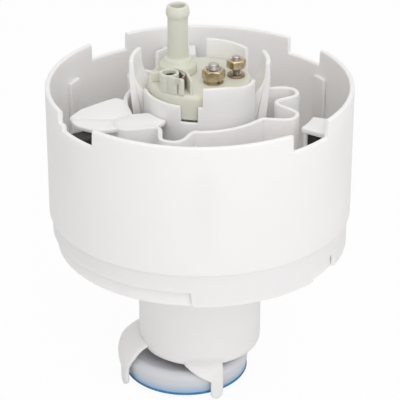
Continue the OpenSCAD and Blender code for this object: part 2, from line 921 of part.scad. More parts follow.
// Outlet nipple with a stepped collar and a beaded mouth
module outlet_nipple() {
    r = nipple_d / 2;
    m = mouth_d / 2;
    foot = valve_r - fit;
    color(pale_green)
    translate([outlet_x, outlet_y, 0])
        rotate_extrude()
            polygon([
                [nipple_bore / 2, nipple_plug_z], [foot, nipple_plug_z], [foot, deck_z],
                [collar_r, deck_z], [collar_r, deck_z + 3.4], [collar_r - 0.6, deck_z + 4],
                [collar_r - 1.8, deck_z + 4], [collar_r - 1.8, deck_z + collar_h - 0.8],
                [collar_r - 2.6, deck_z + collar_h], [r + 0.4, deck_z + collar_h],
                [r, deck_z + collar_h + 0.6], [r, nipple_top_z - 4.4], [m, nipple_top_z - 3.4],
                [m, nipple_top_z - 2.6], [r - 0.3, nipple_top_z], [nipple_bore / 2, nipple_top_z]
            ]);
}

// Bent metal strip in the channel round the tower
module contact_strap() {
    strap_r = tower_r + (guard_gap + strap_t) / 2;
    top = tower_top_z - strap_drop;
    color([0.5, 0.44, 0.38])
    translate(tower_at) {
        arc_wall(strap_r - strap_t, strap_r, 60, 205, deck_z, top);
        arc_wall(strap_r - strap_t - strap_lip, strap_r, 150, 205, top - strap_t, top);
    }
}

// Ferrite core of the radio choke that stands in the hollow tower
module choke_core() {
    color([0.1, 0.1, 0.1])
    translate(tower_at)
        rod(tower_r - tower_wall - core_gap, deck_z + tower_floor, tower_top_z - core_drop);
}

module stud_m5() {
    color(steel)
    translate([big_x, big_y, 0])
        stud_shape(big_stud_d / 2, big_foot_r, big_nut_top);
}

module stud_m4() {
    color(steel)
    translate([small_x, small_y, 0])
        stud_shape(small_stud_d / 2, small_foot_r, small_nut_top);
}

module washer_m5() {
    color(zinc_brass)
    translate([big_x, big_y, 0])
        tube(big_stud_d / 2 + run_gap, big_nut_af / 2, deck_z, deck_z + washer_t);
}

// Split spring washer
module lock_washer_m5() {
    low = deck_z + washer_t;
    color(steel)
    translate([big_x, big_y, 0])
        arc_wall(big_stud_d / 2 + run_gap, big_nut_af / 2 - 0.3, 40, 385, low, low + lock_t);
}

module nut_m5() {
    low = deck_z + washer_t + lock_t;
    color(zinc_brass)
    translate([big_x, big_y, 0])
        hex_nut(big_nut_af, big_stud_d / 2 + run_gap, low, low + big_nut_h);
}

module washer_m4() {
    color(zinc_brass)
    translate([small_x, small_y, 0])
        tube(small_stud_d / 2 + run_gap, small_nut_af / 2, deck_z, deck_z + small_washer_t);
}

module nut_m4() {
    color(zinc_brass)
    translate([small_x, small_y, 0])
        rotate([0, 0, 14])
            hex_nut(small_nut_af, small_stud_d / 2 + run_gap, small_nut_z, small_nut_z + small_nut_h);
}

// Outlet check valve
module check_poppet() {
    color([0.25, 0.25, 0.26])
    translate([outlet_x, outlet_y, 0])
        rotate_extrude()
            polygon([
                [0, seat_z + valve_gap], [3.6, seat_z + valve_gap], [4.3, seat_z + 0.8],
                [4.3, seat_z + poppet_rim_h], [1.6, seat_z + poppet_rim_h],
                [1.6, seat_z + poppet_h], [0, seat_z + poppet_h]
            ]);
}

module check_spring() {
    color(steel)
    translate([outlet_x, outlet_y, 0])
        coil_spring(3.2, 0.3, seat_z + poppet_rim_h, nipple_plug_z, 4);
}

// Pressure relief valve
module relief_ball() {
    color(steel)
    translate([relief_x, relief_y, relief_seat_z + relief_ball_r + relief_lift_gap])
        sphere(r = relief_ball_r);
}

module relief_spring() {
    color(steel)
    translate([relief_x, relief_y, 0])
        coil_spring(1.6, 0.25, relief_seat_z + 2 * relief_ball_r - 0.2, deck_z - relief_plug_h, 6);
}

module relief_plug() {
    color(zinc_brass)
    translate([relief_x, relief_y, 0])
        tube(relief_out, relief_bore - fit, deck_z - relief_plug_h, deck_z);
}

module brush(side) {
    color([0.2, 0.2, 0.2])
    translate([-brush_w / 2, side * brush_off - brush_w / 2, brush_foot_z])
        cube([brush_w, brush_w, brush_h]);
}

module brush_spring(side) {
    color(steel)
    translate([0, side * brush_off, 0])
        coil_spring(1.9, 0.25, brush_foot_z + brush_h, brush_roof_z, 5);
}

// Two ferrite shells inside the can
module magnets() {
    color([0.28, 0.28, 0.3])
    for (dir = [90, -90])
        arc_wall(magnet_out - magnet_t, magnet_out, dir - magnet_half_deg, dir + magnet_half_deg,
            magnet_foot_z, magnet_foot_z + magnet_h);
}

// Spring clips that spread the magnets apart
module magnet_clips() {
    color(steel)
    for (dir = [0, 180])
        arc_wall(magnet_out - clip_t, magnet_out, dir - clip_half_deg, dir + clip_half_deg,
            magnet_foot_z + clip_inset, magnet_foot_z + magnet_h - clip_inset);
}

module shaft() {
    color(steel)
    rod(shaft_r, cover_top_z - 0.7, upper_bush_z + bush_h + 3);
}

// Slotted iron core of the armature
module armature_core() {
    color([0.35, 0.35, 0.37])
    translate([0, 0, core_foot_z])
        linear_extrude(core_h)
            difference() {
                circle(r = armature_r);
                circle(r = shaft_r + fit);
                for (k = [0:poles - 1])
                    rotate(360 * k / poles) {
                        translate([armature_r * slot_share, 0])
                            circle(r = slot_hole_r, $fn = 32);
                        translate([armature_r * slot_share, -slot_w / 2])
                            square([armature_r, slot_w]);
                    }
            }
}

// Copper end turns, joined through the core's slots
module armature_windings() {
    turn_r = armature_r * slot_share;
    color(copper)
    union() {
        for (z = [core_foot_z - end_turn_h, core_foot_z + core_h])
            translate([0, 0, z])
                difference() {
                    rotate_extrude()
                        polygon([
                            [0, 0], [turn_r, 0], [turn_r + 2.4, 2], [turn_r + 2.4, end_turn_h - 2],
                            [turn_r, end_turn_h], [0, end_turn_h]
                        ]);
                    rod(shaft_r + 1, -1, end_turn_h + 1);
                }
        for (k = [0:poles - 1])
            rotate([0, 0, 360 * k / poles])
                translate([turn_r, 0, core_foot_z - 1])
                    cylinder(r = slot_hole_r - 0.1, h = core_h + 2, $fn = 32);
    }
}

// Face commutator: segments on a moulded hub
module commutator() {
    color(copper)
    difference() {
        union() {
            tube(shaft_r + fit, commutator_r - 1, commutator_foot_z, commutator_top - 1);
            tube(shaft_r + 1.5, commutator_r, commutator_foot_z + 2, commutator_top);
        }
        for (k = [0:poles - 1])
            rotate([0, 0, 360 * (k + 0.5) / poles])
                translate([shaft_r + 1, -0.3, commutator_top - 1.5])
                    cube([commutator_r, 0.6, 3]);
    }
}

module upper_bush() {
    color([0.6, 0.5, 0.35])
    tube(shaft_r + run_gap, bush_r, upper_bush_z, upper_bush_z + bush_h);
}

module lower_bush() {
    color([0.6, 0.5, 0.35])
    tube(shaft_r + run_gap, lower_bush_r, lower_bush_z, lower_bush_z + bush_h);
}

// Plate above the impeller, with the ring that surrounds it
module pump_plate() {
    color([0.62, 0.63, 0.64])
    difference() {
        union() {
            rod(plug_r, cover_top_z, plate_roof_z + plate_t);
            rod(bush_r + 1, cover_top_z, plate_roof_z + bush_h + 2);
        }
        rod(impeller_r + impeller_gap, cover_top_z - 1, plate_roof_z);
        rod(lower_bush_r + fit, plate_roof_z - 1, plate_roof_z + bush_h + 3);
        flow_groove(plate_roof_z);
        rotate([0, 0, 200])
            translate([0, -groove_r, 0])
                rod(pump_port_d / 2, plate_roof_z - 1, plate_roof_z + plate_t + 1);
    }
}

// Round groove above or below the vanes
module flow_groove(z) {
    rotate([0, 0, -120])
        rotate_extrude(angle = groove_deg)
            translate([groove_r - groove_w / 2, z - groove_depth])
                square([groove_w, 2 * groove_depth]);
}

// Vaned wheel that the shaft turns
module impeller() {
    color([0.3, 0.28, 0.25])
    translate([0, 0, impeller_z])
        linear_extrude(impeller_h)
            difference() {
                circle(r = impeller_r);
                circle(r = shaft_r + fit);
                for (k = [0:vanes - 1])
                    rotate(360 * k / vanes)
                        translate([impeller_r - 3, -0.7])
                            square([2.4, 1.4]);
                for (k = [0:3])
                    rotate(90 * k + 45)
                        translate([impeller_hole_at, 0])
                            circle(r = 1.5, $fn = 24);
            }
}

// Inlet cover below the impeller, with the spigot that the strainer plugs on
module inlet_cover() {
    color([0.62, 0.63, 0.64])
    difference() {
        union() {
            rod(plug_r, can_foot_z + can_wall + seal_fit, cover_top_z);
            rod(spigot_r, spigot_foot_z, cover_top_z - 1);
        }
        rod(spigot_r - spigot_wall, spigot_foot_z - 1, duct_roof_z - 1);
        rotate([0, 0, -120])
            translate([0, -groove_r, 0])
                rod(pump_port_d / 2, duct_roof_z - 1, cover_top_z + 1);
        rotate([0, 0, -120])
            translate([-duct_w / 2, -groove_r, duct_roof_z - duct_h])
                cube([duct_w, groove_r - spigot_r / 2, duct_h]);
        flow_groove(cover_top_z);
        rod(shaft_r + 0.3, cover_top_z - 1, cover_top_z + 1);
    }
}

// Strainer top: a dished cover with a fat rounded rim and the socket for the spigot
module strainer_frame() {
    rim_mid = strainer_top_z - bead_r;
    dish_r = strainer_r - bead_r - dish_run;
    color([0.85, 0.86, 0.87])
    difference() {
        union() {
            translate([-strainer_offset, 0, 0])
                rotate_extrude()
                    union() {
                        translate([strainer_r - bead_r, rim_mid])
                            circle(r = bead_r, $fn = 48);
                        polygon([
                            [0, dish_z - dish_t], [dish_r, dish_z - dish_t],
                            [strainer_r - bead_r, rim_mid - 1.2], [strainer_r - bead_r, rim_mid + 1.2],
                            [dish_r, dish_z], [0, dish_z]
                        ]);
                        translate([strainer_r - 2, strainer_foot_z + 2])
                            square([1.6, rim_mid - strainer_foot_z - 1.8]);
                    }
            rod(spigot_r + socket_wall, dish_z - 1, strainer_top_z + socket_wall);
        }
        rod(spigot_r + seal_fit, spigot_foot_z - seal_fit, strainer_top_z + 3);
        rod(spigot_r - spigot_wall, strainer_foot_z, strainer_top_z);
    }
}

// Blue woven screen under the frame, a shallow closed pan
module strainer_screen() {
    r = strainer_r - 0.4;
    color([0.35, 0.52, 0.7])
    translate([-strainer_offset, 0, 0])
        rotate_extrude()
            polygon([
                [0, strainer_foot_z], [r - 3.6, strainer_foot_z], [r - 1.4, strainer_foot_z + 0.6],
                [r, strainer_foot_z + 1.95], [r - 1.7, strainer_foot_z + 1.95],
                [r - 3.8, strainer_foot_z + screen_t], [0, strainer_foot_z + screen_t]
            ]);
}

// Spokes that keep the screen away from the cover
module strainer_ribs() {
    low = strainer_foot_z + screen_t;
    color([0.85, 0.86, 0.87])
    translate([-strainer_offset, 0, 0])
        union() {
            for (k = [0:screen_ribs - 1])
                rotate([0, 0, 360 * k / screen_ribs])
                    translate([screen_rib_in, -screen_rib_w / 2, low])
                        cube([strainer_r - 5 - screen_rib_in, screen_rib_w, screen_rib_h]);
            tube(screen_rib_in - 0.4, screen_rib_in + 0.6, low, low + screen_rib_h);
        }
}

outer_sleeve();
reservoir_pot();
spring_cage();
rubber_buffers();
guide_ring();
pump_sleeve();
rubber_liner();
pump_can();
pump_cap();
outlet_nipple();
contact_strap();
choke_core();
stud_m5();
washer_m5();
lock_washer_m5();
nut_m5();
stud_m4();
washer_m4();
nut_m4();
check_poppet();
check_spring();
relief_ball();
relief_spring();
relief_plug();
brush(-1);  // brush_left
brush(1);  // brush_right
brush_spring(-1);  // brush_spring_left
brush_spring(1);  // brush_spring_right
magnets();
magnet_clips();
shaft();
armature_core();
armature_windings();
commutator();
upper_bush();
lower_bush();
pump_plate();
impeller();
inlet_cover();
strainer_frame();
strainer_screen();
strainer_ribs();
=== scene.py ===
import bmesh
import bpy
import numpy as np
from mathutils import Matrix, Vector


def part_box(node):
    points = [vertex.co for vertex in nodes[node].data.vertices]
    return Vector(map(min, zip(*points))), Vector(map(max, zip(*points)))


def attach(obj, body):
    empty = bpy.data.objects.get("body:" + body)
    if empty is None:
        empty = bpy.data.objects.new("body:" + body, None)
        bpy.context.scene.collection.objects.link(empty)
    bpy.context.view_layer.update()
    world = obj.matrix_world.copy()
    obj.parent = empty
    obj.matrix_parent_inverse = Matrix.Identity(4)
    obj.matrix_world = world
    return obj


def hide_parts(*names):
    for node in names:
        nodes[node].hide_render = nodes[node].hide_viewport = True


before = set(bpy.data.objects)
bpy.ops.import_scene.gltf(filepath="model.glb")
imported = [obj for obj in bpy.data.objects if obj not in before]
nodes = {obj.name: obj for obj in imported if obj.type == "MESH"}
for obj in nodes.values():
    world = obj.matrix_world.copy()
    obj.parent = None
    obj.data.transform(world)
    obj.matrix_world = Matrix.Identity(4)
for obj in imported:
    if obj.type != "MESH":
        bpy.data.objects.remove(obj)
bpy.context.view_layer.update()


# Lower pot of the reservoir: wall, floor, ribs and the neck that the pump stands in. One moulding
# in natural acetal, milky and slightly see-through, with a fine spark-eroded grain on its faces.
mm = 0.001


def node_size(name):
    """Lowest and highest corner of a CAD node, in millimetres."""
    low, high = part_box(name)
    return np.array(low) / mm, np.array(high) / mm


def feed(tree, value, socket):
    """Gives a node's input a number, a colour or what another node puts out."""
    if isinstance(value, (int, float)):
        socket.default_value = value
    elif isinstance(value, tuple):
        socket.default_value = (*value, 1)
    else:
        tree.links.new(value, socket)


def new_group(name, **inputs):
    """Node group of a face: its inputs are colours and numbers with their usual values, and it puts out
    the face's colour, roughness and normal."""
    group = bpy.data.node_groups.new(name, "ShaderNodeTree")
    for label, value in inputs.items():
        kind = "NodeSocketColor" if isinstance(value, tuple) else "NodeSocketFloat"
        socket = group.interface.new_socket(label.replace("_", " "), in_out="INPUT", socket_type=kind)
        feed(group, value, socket)
    for label, kind in (("Colour", "NodeSocketColor"), ("Roughness", "NodeSocketFloat"),
                        ("Normal", "NodeSocketVector")):
        group.interface.new_socket(label, in_out="OUTPUT", socket_type=kind)
    place = group.nodes.new("ShaderNodeTexCoord").outputs["Object"]
    return group, place, group.nodes.new("NodeGroupInput").outputs, group.nodes.new("NodeGroupOutput").inputs


def noise_node(tree, place, scale, detail):
    """Noise read at place, in Object coordinates, so that it stays put on the piece."""
    noise = tree.nodes.new("ShaderNodeTexNoise")
    feed(tree, scale, noise.inputs["Scale"])
    feed(tree, detail, noise.inputs["Detail"])
    tree.links.new(place, noise.inputs["Vector"])
    return noise.outputs["Fac"]


def math_node(tree, operation, *values):
    """Math node; each value is a number or what another node puts out."""
    node = tree.nodes.new("ShaderNodeMath")
    node.operation = operation
    for value, socket in zip(values, node.inputs):
        feed(tree, value, socket)
    return node.outputs[0]


def colour_mix(tree, share, first, second):
    """Mix of two colours, with none of the second where share is 0 and all of it where it is 1."""
    mix = tree.nodes.new("ShaderNodeMix")
    mix.data_type = "RGBA"
    for value, k in ((share, 0), (first, 6), (second, 7)):
        feed(tree, value, mix.inputs[k])
    return mix.outputs[2]


def bump_normal(tree, height, depth):
    """Normal of a face with a fine relief; depth is how deep it is, in metres."""
    bump = tree.nodes.new("ShaderNodeBump")
    feed(tree, height, bump.inputs["Height"])
    feed(tree, depth, bump.inputs["Distance"])
    return bump.outputs["Normal"]


def put_out(group, outputs, colour, roughness, normal):
    """Links a group's colour, roughness and normal to its outputs."""
    for value, socket in zip((colour, roughness, normal), outputs):
        group.links.new(value, socket)


# Moulded plastic: cloudy tone where the melt flowed, fine grain over shallow sinks, and faint scuffs
moulded_face, place, given, outputs = new_group(
    "moulded_face", Tone=(0.9, 0.9, 0.9), Shade=(0.8, 0.8, 0.8), Cloud_Scale=35.0, Grain_Scale=2200.0,
    Grain_Depth=0.00002, Roughness=0.42)
cloud = noise_node(moulded_face, place, given["Cloud Scale"], 3.0)
scuff = noise_node(moulded_face, place, 18.0, 6.0)
grain = noise_node(moulded_face, place, given["Grain Scale"], 2.0)
sink = noise_node(moulded_face, place, 60.0, 1.0)
relief = math_node(moulded_face, "MULTIPLY_ADD", sink, 4.0, grain)
put_out(moulded_face, outputs, colour_mix(moulded_face, cloud, given["Shade"], given["Tone"]),
        math_node(moulded_face, "MULTIPLY_ADD", scuff, 0.18, given["Roughness"]),
        bump_normal(moulded_face, relief, given["Grain Depth"]))


def new_material(name, group, **values):
    """Material whose colour, roughness and normal come from a group; returns it with its shader."""
    material = bpy.data.materials.new(name)
    material.use_nodes = True
    tree = material.node_tree
    shader = tree.nodes["Principled BSDF"]
    face = tree.nodes.new("ShaderNodeGroup")
    face.node_tree = group
    for label, value in values.items():
        feed(tree, value, face.inputs[label.replace("_", " ")])
    for label, socket in (("Colour", "Base Color"), ("Roughness", "Roughness"), ("Normal", "Normal")):
        tree.links.new(face.outputs[label], shader.inputs[socket])
    return material, shader


def moulded_material(name, tone, shade, roughness, see_through=0.0):
    """Satin moulded plastic; see_through is the share of light that scatters under its face."""
    material, shader = new_material(name, moulded_face, Tone=tone, Shade=shade, Roughness=roughness)
    for label, value in (("Specular IOR Level", 0.35), ("Subsurface Weight", see_through),
                         ("Subsurface Radius", (1.0, 0.95, 0.88)), ("Subsurface Scale", 0.004)):
        shader.inputs[label].default_value = value
    return material


milky_acetal = moulded_material("milky_acetal", (0.96, 0.938, 0.926), (0.935, 0.912, 0.9), 0.36, 0.35)


def dress(material, *names):
    """Gives CAD nodes a material in every slot."""
    for name in names:
        slots = nodes[name].data.materials
        for k in range(len(slots)):
            slots[k] = material


def new_object(name, data):
    """Object that is linked to the scene, over a mesh, a lamp or a camera."""
    thing = bpy.data.objects.new(name, data)
    bpy.context.scene.collection.objects.link(thing)
    return thing


def finish_piece(name, mesh, material, body, replaced=()):
    """Merges doubles, turns the faces out, smooths round stretches and puts the piece on its body."""
    work = bmesh.new()
    work.from_mesh(mesh)
    bmesh.ops.remove_doubles(work, verts=work.verts, dist=0.002 * mm)
    bmesh.ops.dissolve_degenerate(work, edges=work.edges, dist=0.001 * mm)
    bmesh.ops.recalc_face_normals(work, faces=work.faces)
    work.to_mesh(mesh)
    work.free()
    mesh.shade_smooth()
    mesh.set_sharp_from_angle(angle=np.radians(40))
    mesh.materials.append(material)
    piece = new_object(name, mesh)
    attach(piece, body)
    if replaced:
        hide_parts(*replaced)
    return piece


def skin_mesh(name, grids):
    """Mesh over grids of points in millimetres. Each grid is (points, around, along): around joins the
    last row to the first, and along joins the last column to the first."""
    vertices, faces, count = [], [], 0
    for points, around, along in grids:
        rows, columns = points.shape[:2]
        r = np.arange(rows if around else rows - 1)[:, None]
        c = np.arange(columns if along else columns - 1)[None, :]
        r2 = (r + 1) % rows
        c2 = (c + 1) % columns
        quads = np.stack([r * columns + c, r * columns + c2, r2 * columns + c2, r2 * columns + c], -1)
        faces.append(quads.reshape(-1, 4) + count)
        vertices.append(points.reshape(-1, 3))
        count += rows * columns
    vertices = np.concatenate(vertices) * mm
    faces = np.concatenate(faces)
    mesh = bpy.data.meshes.new(name)
    mesh.vertices.add(len(vertices))
    mesh.vertices.foreach_set("co", vertices.ravel())
    mesh.loops.add(faces.size)
    mesh.loops.foreach_set("vertex_index", faces.ravel())
    mesh.polygons.add(len(faces))
    mesh.polygons.foreach_set("loop_start", np.arange(0, faces.size, 4))
    mesh.update(calc_edges=True)
    return mesh


def grid_piece(name, grids, material, body, slot, *replaced):
    """Piece over grids of points, which takes the place of the CAD nodes that are named last."""
    finish_piece(name, skin_mesh(name, grids), material, body, replaced)


def milky_piece(name, grids, body, *replaced):
    """Piece of the milky plastic over grids of points."""
    grid_piece(name, grids, milky_acetal, body, "milky_plastic", *replaced)


def soften(points, reach, steps=5, closed=True):
    """Rounds the corners of an outline: each becomes a curve between points up to reach before and after
    it. reach is one length or one for each corner; an open outline keeps its two ends."""
    p = np.asarray(points, float)
    reach = np.broadcast_to(np.asarray(reach, float), len(p)).copy()
    if not closed:
        reach[[0, -1]] = 0
    ends = []
    for way in (np.roll(p, 1, 0) - p, np.roll(p, -1, 0) - p):
        length = np.linalg.norm(way, axis=1)
        ends.append(p + way / length[:, None] * np.minimum(reach, 0.48 * length)[:, None])
    a, b = ends
    t = np.linspace(0, 1, steps)[None, :, None]
    curve = a[:, None] * (1 - t) ** 2 + p[:, None] * 2 * t * (1 - t) + b[:, None] * t ** 2
    return curve.reshape(-1, p.shape[1])


def about_axis(centre, turn, radius, height):
    """Points about an upright axis, from turns in radians, radii and heights."""
    x = centre[0] + radius * np.cos(turn)
    y = centre[1] + radius * np.sin(turn)
    return np.stack([x, y, np.broadcast_to(height, x.shape)], -1)


def lathe(outline, sides=192, centre=(0, 0)):
    """Grid of an outline of radius and height, turned about an upright axis."""
    turn = np.linspace(0, 2 * np.pi, sides, endpoint=False)[:, None]
    return about_axis(centre, turn, outline[:, 0][None], outline[:, 1][None])


def around_line(line, closed):
    """Unit vectors to the left of a plane line at each of its points."""
    if closed:
        run = np.roll(line, -1, 0) - np.roll(line, 1, 0)
    else:
        run = np.gradient(line, axis=0)
    run = run / np.linalg.norm(run, axis=1)[:, None]
    return np.stack([-run[:, 1], run[:, 0]], -1)


def close_ends(points):
    """Draws both ends of a grid in to a point."""
    ends = [np.broadcast_to(points[k].mean(0), points[k].shape)[None] for k in (0, -1)]
    return np.concatenate([ends[0], points, ends[1]])


def wall_grid(line, thick, low, high, edge, closed=False, count=None):
    """Upright wall along a plane line. Its section is a rectangle with round corners, which draws in to a
    rounded end at both ends of an open line. low and high are numbers or one value for each point."""
    line = np.asarray(line, float)
    low = np.broadcast_to(np.asarray(low, float), len(line))
    high = np.broadcast_to(np.asarray(high, float), len(line))
    round_by = np.full(len(line), edge)
    if not closed:
        run = np.concatenate([[0], np.cumsum(np.linalg.norm(np.diff(line, axis=0), axis=1))])
        bend = np.radians([0, 15, 30, 45, 60, 75])
        lead = edge * (1 - np.cos(bend))
        inner = np.linspace(edge, run[-1] - edge, count or max(2 * len(line), 8))
        at = np.concatenate([lead, inner, run[-1] - lead[::-1]])
        round_by = np.concatenate([edge * np.sin(bend), np.full(len(inner), edge), edge * np.sin(bend[::-1])])
        low, high = np.interp(at, run, low), np.interp(at, run, high)
        line = np.stack([np.interp(at, run, line[:, 0]), np.interp(at, run, line[:, 1])], -1)
    side = around_line(line, closed)
    corner = np.radians(np.array([[0, 22.5, 45, 67.5, 90]]) + np.array([[0], [90], [180], [270]]))
    sign = np.array([[1, 1], [-1, 1], [-1, -1], [1, -1]])
    half = (high - low)[:, None, None] / 2 - edge
    middle = (high + low)[:, None, None] / 2
    across = sign[None, :, :1] * (thick / 2 - edge) + round_by[:, None, None] * np.cos(corner)[None]
    up = middle + sign[None, :, 1:] * half + round_by[:, None, None] * np.sin(corner)[None]
    across, up = across.reshape(len(line), -1), up.reshape(len(line), -1)
    flat = line[:, None] + side[:, None] * across[..., None]
    points = np.concatenate([flat, up[..., None]], -1)
    if not closed:
        points = close_ends(points)
    return points, closed, True


def aim(radius, direction):
    """Plane points at a radius and a direction in degrees from the front, positive towards the right."""
    turn = np.radians(direction)
    return np.stack([radius * np.sin(turn), -radius * np.cos(turn)], -1)


def arc_wall(r_in, r_out, start, end, low, high, edge, centre=(0, 0), count=24):
    """Curved wall between two radii and two directions."""
    line = aim((r_in + r_out) / 2, np.linspace(start, end, count)) + np.array(centre)
    return wall_grid(line, r_out - r_in, low, high, edge)


neck_r = 25.5
neck_in = 23.7
neck_foot_z = 15.0
neck_lip_r = 19.7
neck_lip_top = 16.8
pot_r = 58.5
pot_in = 56.5
floor_z = 63.0
floor_top = 65.2
pot_top_z = node_size("reservoir_pot")[1][2]
rib_count = 6
rib_wall = 1.6
rib_top = 69.1

pot_outline = soften(
    [(neck_lip_r, neck_foot_z), (neck_r, neck_foot_z), (neck_r, floor_z), (pot_r, floor_z),
     (pot_r, pot_top_z), (pot_in, pot_top_z), (pot_in, floor_top), (neck_in, floor_top),
     (neck_in, neck_lip_top), (neck_lip_r, neck_lip_top)],
    [0.6, 3.6, 1.2, 1.6, 0.6, 0.6, 1.5, 0.8, 0.5, 0.5], 8)
pot_grids = [(lathe(pot_outline), True, True)]
for k in range(rib_count):
    rib_line = aim(np.linspace(neck_in + 0.4, pot_in + 0.5, 12), 360 * (k + 0.5) / rib_count)
    pot_grids.append(wall_grid(rib_line, rib_wall, floor_top - 1, rib_top, 0.5))


# Feet: three curved legs that stand round the strainer, moulded with the pot. Two follow a bulging
# fender that curls in to the neck; the front one blends straight into the foot of the neck.
strainer_axis = np.array([-5.9, 0.0])
foot_r = 29.0
foot_wall = 1.6
foot_half = 2.8
fender_foot_z = 7.5
fender_rise = 12.0
fender_run = 12.0
blend_low = 9.5
blend_high = 16.2
blend_r = neck_r - 0.04
inside_neck = neck_r - 1.1


def foot_grid(direction, left, right, flare_z, flare_rise, origin, height, radius, centre):
    """Closed shell of one leg, seen from origin in its direction. At each height it lies on a circle of
    radius about centre; across it the leg reaches left and right by widths that are a round toe below
    flare_z and then flare out by a smooth step; the edges are half circles. No point comes nearer to the
    pump's axis than inside_neck, which lies in the neck's wall."""
    turn = np.radians(direction)
    across = np.array([np.cos(turn), np.sin(turn)])
    ahead = np.array([np.sin(turn), -np.cos(turn)])
    tangent = np.stack([np.gradient(radius), np.gradient(height)], -1)
    tangent = tangent / np.linalg.norm(tangent, axis=1)[:, None]
    out_r, out_z = tangent[:, 1], -tangent[:, 0]
    toe = np.sqrt(np.clip(foot_half ** 2 - np.clip(foot_half - height, 0, None) ** 2, 0, None))
    flare = np.clip((height - flare_z) / flare_rise, 0, 1)
    reach = [toe + (side - foot_half) * flare * (height > flare_z) for side in (left, right)]
    half_wall = foot_wall / 2
    face = np.linspace(-1, 1, 25)
    edge_turn = np.linspace(0, np.pi, 9)[1:-1]
    low_x = -np.maximum(reach[0] - half_wall, 0)[:, None]
    high_x = np.maximum(reach[1] - half_wall, 0)[:, None]
    span = low_x + (high_x - low_x) * (face[None] + 1) / 2
    tip = np.minimum(half_wall, np.minimum(reach[0], reach[1]))[:, None]
    x = np.concatenate([span, high_x + tip * np.sin(edge_turn), span[:, ::-1],
                        low_x - tip * np.sin(edge_turn)], 1)
    depth = np.concatenate([np.ones(len(face)), np.cos(edge_turn), -np.ones(len(face)), -np.cos(edge_turn)])
    depth = depth[None] * half_wall - half_wall
    r = radius[:, None] + depth * out_r[:, None]
    z = height[:, None] + depth * out_z[:, None]
    side_shift, ahead_shift = ((centre - origin) @ across)[:, None], ((centre - origin) @ ahead)[:, None]
    y = ahead_shift + np.sqrt(np.clip(r ** 2 - (x - side_shift) ** 2, 0, None))
    flat = origin + x[..., None] * across + y[..., None] * ahead
    flat = flat * np.maximum(1, inside_neck / np.linalg.norm(flat, axis=-1))[..., None]
    return close_ends(np.concatenate([flat, np.maximum(z, 0)[..., None]], -1)), False, True


toe_rise = foot_half * (1 - np.cos(np.linspace(0, np.pi / 2, 9)))
bend = np.linspace(0, np.pi / 2, 16)[1:-1]
leg_rise = np.concatenate([toe_rise, np.linspace(foot_half, fender_foot_z, 12)[1:]])
fender_height = np.concatenate([leg_rise, fender_foot_z + fender_rise * np.sin(bend)])
fender_radius = np.concatenate([np.full(len(leg_rise), foot_r), foot_r - fender_run * (1 - np.cos(bend))])
fender_centre = np.broadcast_to(strainer_axis, (len(fender_height), 2))
# Direction of each fender, its width to the left and right, the foot of its flare and how far it stands out
fenders = ((-62.5, 17, 4.8, 8, 0.6), (158, 12.8, 12.8, 5.5, 0))
foot_grids = [foot_grid(direction, left, right, flare_z, 6, strainer_axis, fender_height,
                        fender_radius + out, fender_centre)
              for direction, left, right, flare_z, out in fenders]
share = np.linspace(0, 1, 14)[1:]
ease = (1 + np.cos(np.pi * share)) / 2
leg_rise = np.concatenate([toe_rise, np.linspace(foot_half, blend_low, 14)[1:]])
front_height = np.concatenate([leg_rise, blend_low + (blend_high - blend_low) * share, [blend_high + 2]])
front_radius = np.concatenate([np.full(len(leg_rise), foot_r), blend_r + (foot_r - neck_r) * ease, [blend_r]])
front_centre = np.concatenate([np.ones(len(leg_rise)), ease, [0]])[:, None] * strainer_axis
foot_grids.append(foot_grid(16, 12.8, foot_half, 8.5, 7, np.zeros(2), front_height, front_radius,
                            front_centre))
milky_piece("reservoir_pot_moulding", pot_grids, "housing", "reservoir_pot")
milky_piece("reservoir_feet", foot_grids, "housing")


# Outer sleeve: thin barrel with a castellated rim, which drops over the pot and turns to lock with
# the lugs under its skirt. Same milky acetal; a drawn-in step shows where the skirt begins.
sleeve_low, sleeve_high = node_size("outer_sleeve")
sleeve_r = sleeve_high[0]
sleeve_in = sleeve_r - 2.0
rim_z = sleeve_high[2]
rim_drop = 7.0
rim_slots = (44.0, 132.5, 220.0, 309.5)
slot_deg = 18.0
step_deg = 3.0
barrel_foot_z = 78.0
skirt_r = 60.2
skirt_in = 58.8
rim_round = 0.7
skirt_round = 0.5
skirt_foot_z = 70.0
lug_drop = skirt_foot_z - sleeve_low[2]
lug_spans = ((-3, 48), (63, 110), (150, 215), (232, 250))


def band(turn, start, end, ramp):
    """1 between two directions and 0 outside, with a short smooth ramp at each end; turn is in degrees."""
    inside = (turn - (start + end) / 2 + 180) % 360 - 180
    t = np.clip(((end - start) / 2 - np.abs(inside)) / ramp + 0.5, 0, 1)
    return t * t * (3 - 2 * t)


def ring_turns(edges, step, ramp):
    """Directions round a ring: evenly spaced ones, and closely spaced ones at each edge of a slot."""
    even = np.arange(0, 360, step)
    fine = np.linspace(-0.8, 0.8, 9) * ramp
    close = (np.asarray(edges)[:, None] + fine[None]).ravel() % 360
    even = even[np.all(np.abs((even[:, None] - np.asarray(edges)[None] + 180) % 360 - 180) > ramp, 1)]
    return np.unique(np.round(np.concatenate([even, close]), 4))


def ring_grid(turn, section):
    """Grid round a ring; section(turn) gives for each direction a closed line of radius and height."""
    radius, height = section(turn)
    return np.concatenate([aim(radius, turn[:, None]), height[..., None]], -1), True, True


def straight(radius, height):
    """Straight stretch of a section, at one radius or at one for each height."""
    return np.broadcast_to(radius, height.shape), height


def corner(radius, height, size, start):
    """Rounded corner of a section: a quarter circle from start degrees."""
    turn = np.radians(start + np.linspace(0, 90, 5))
    return radius + size * np.cos(turn) + 0 * height, height + size * np.sin(turn)


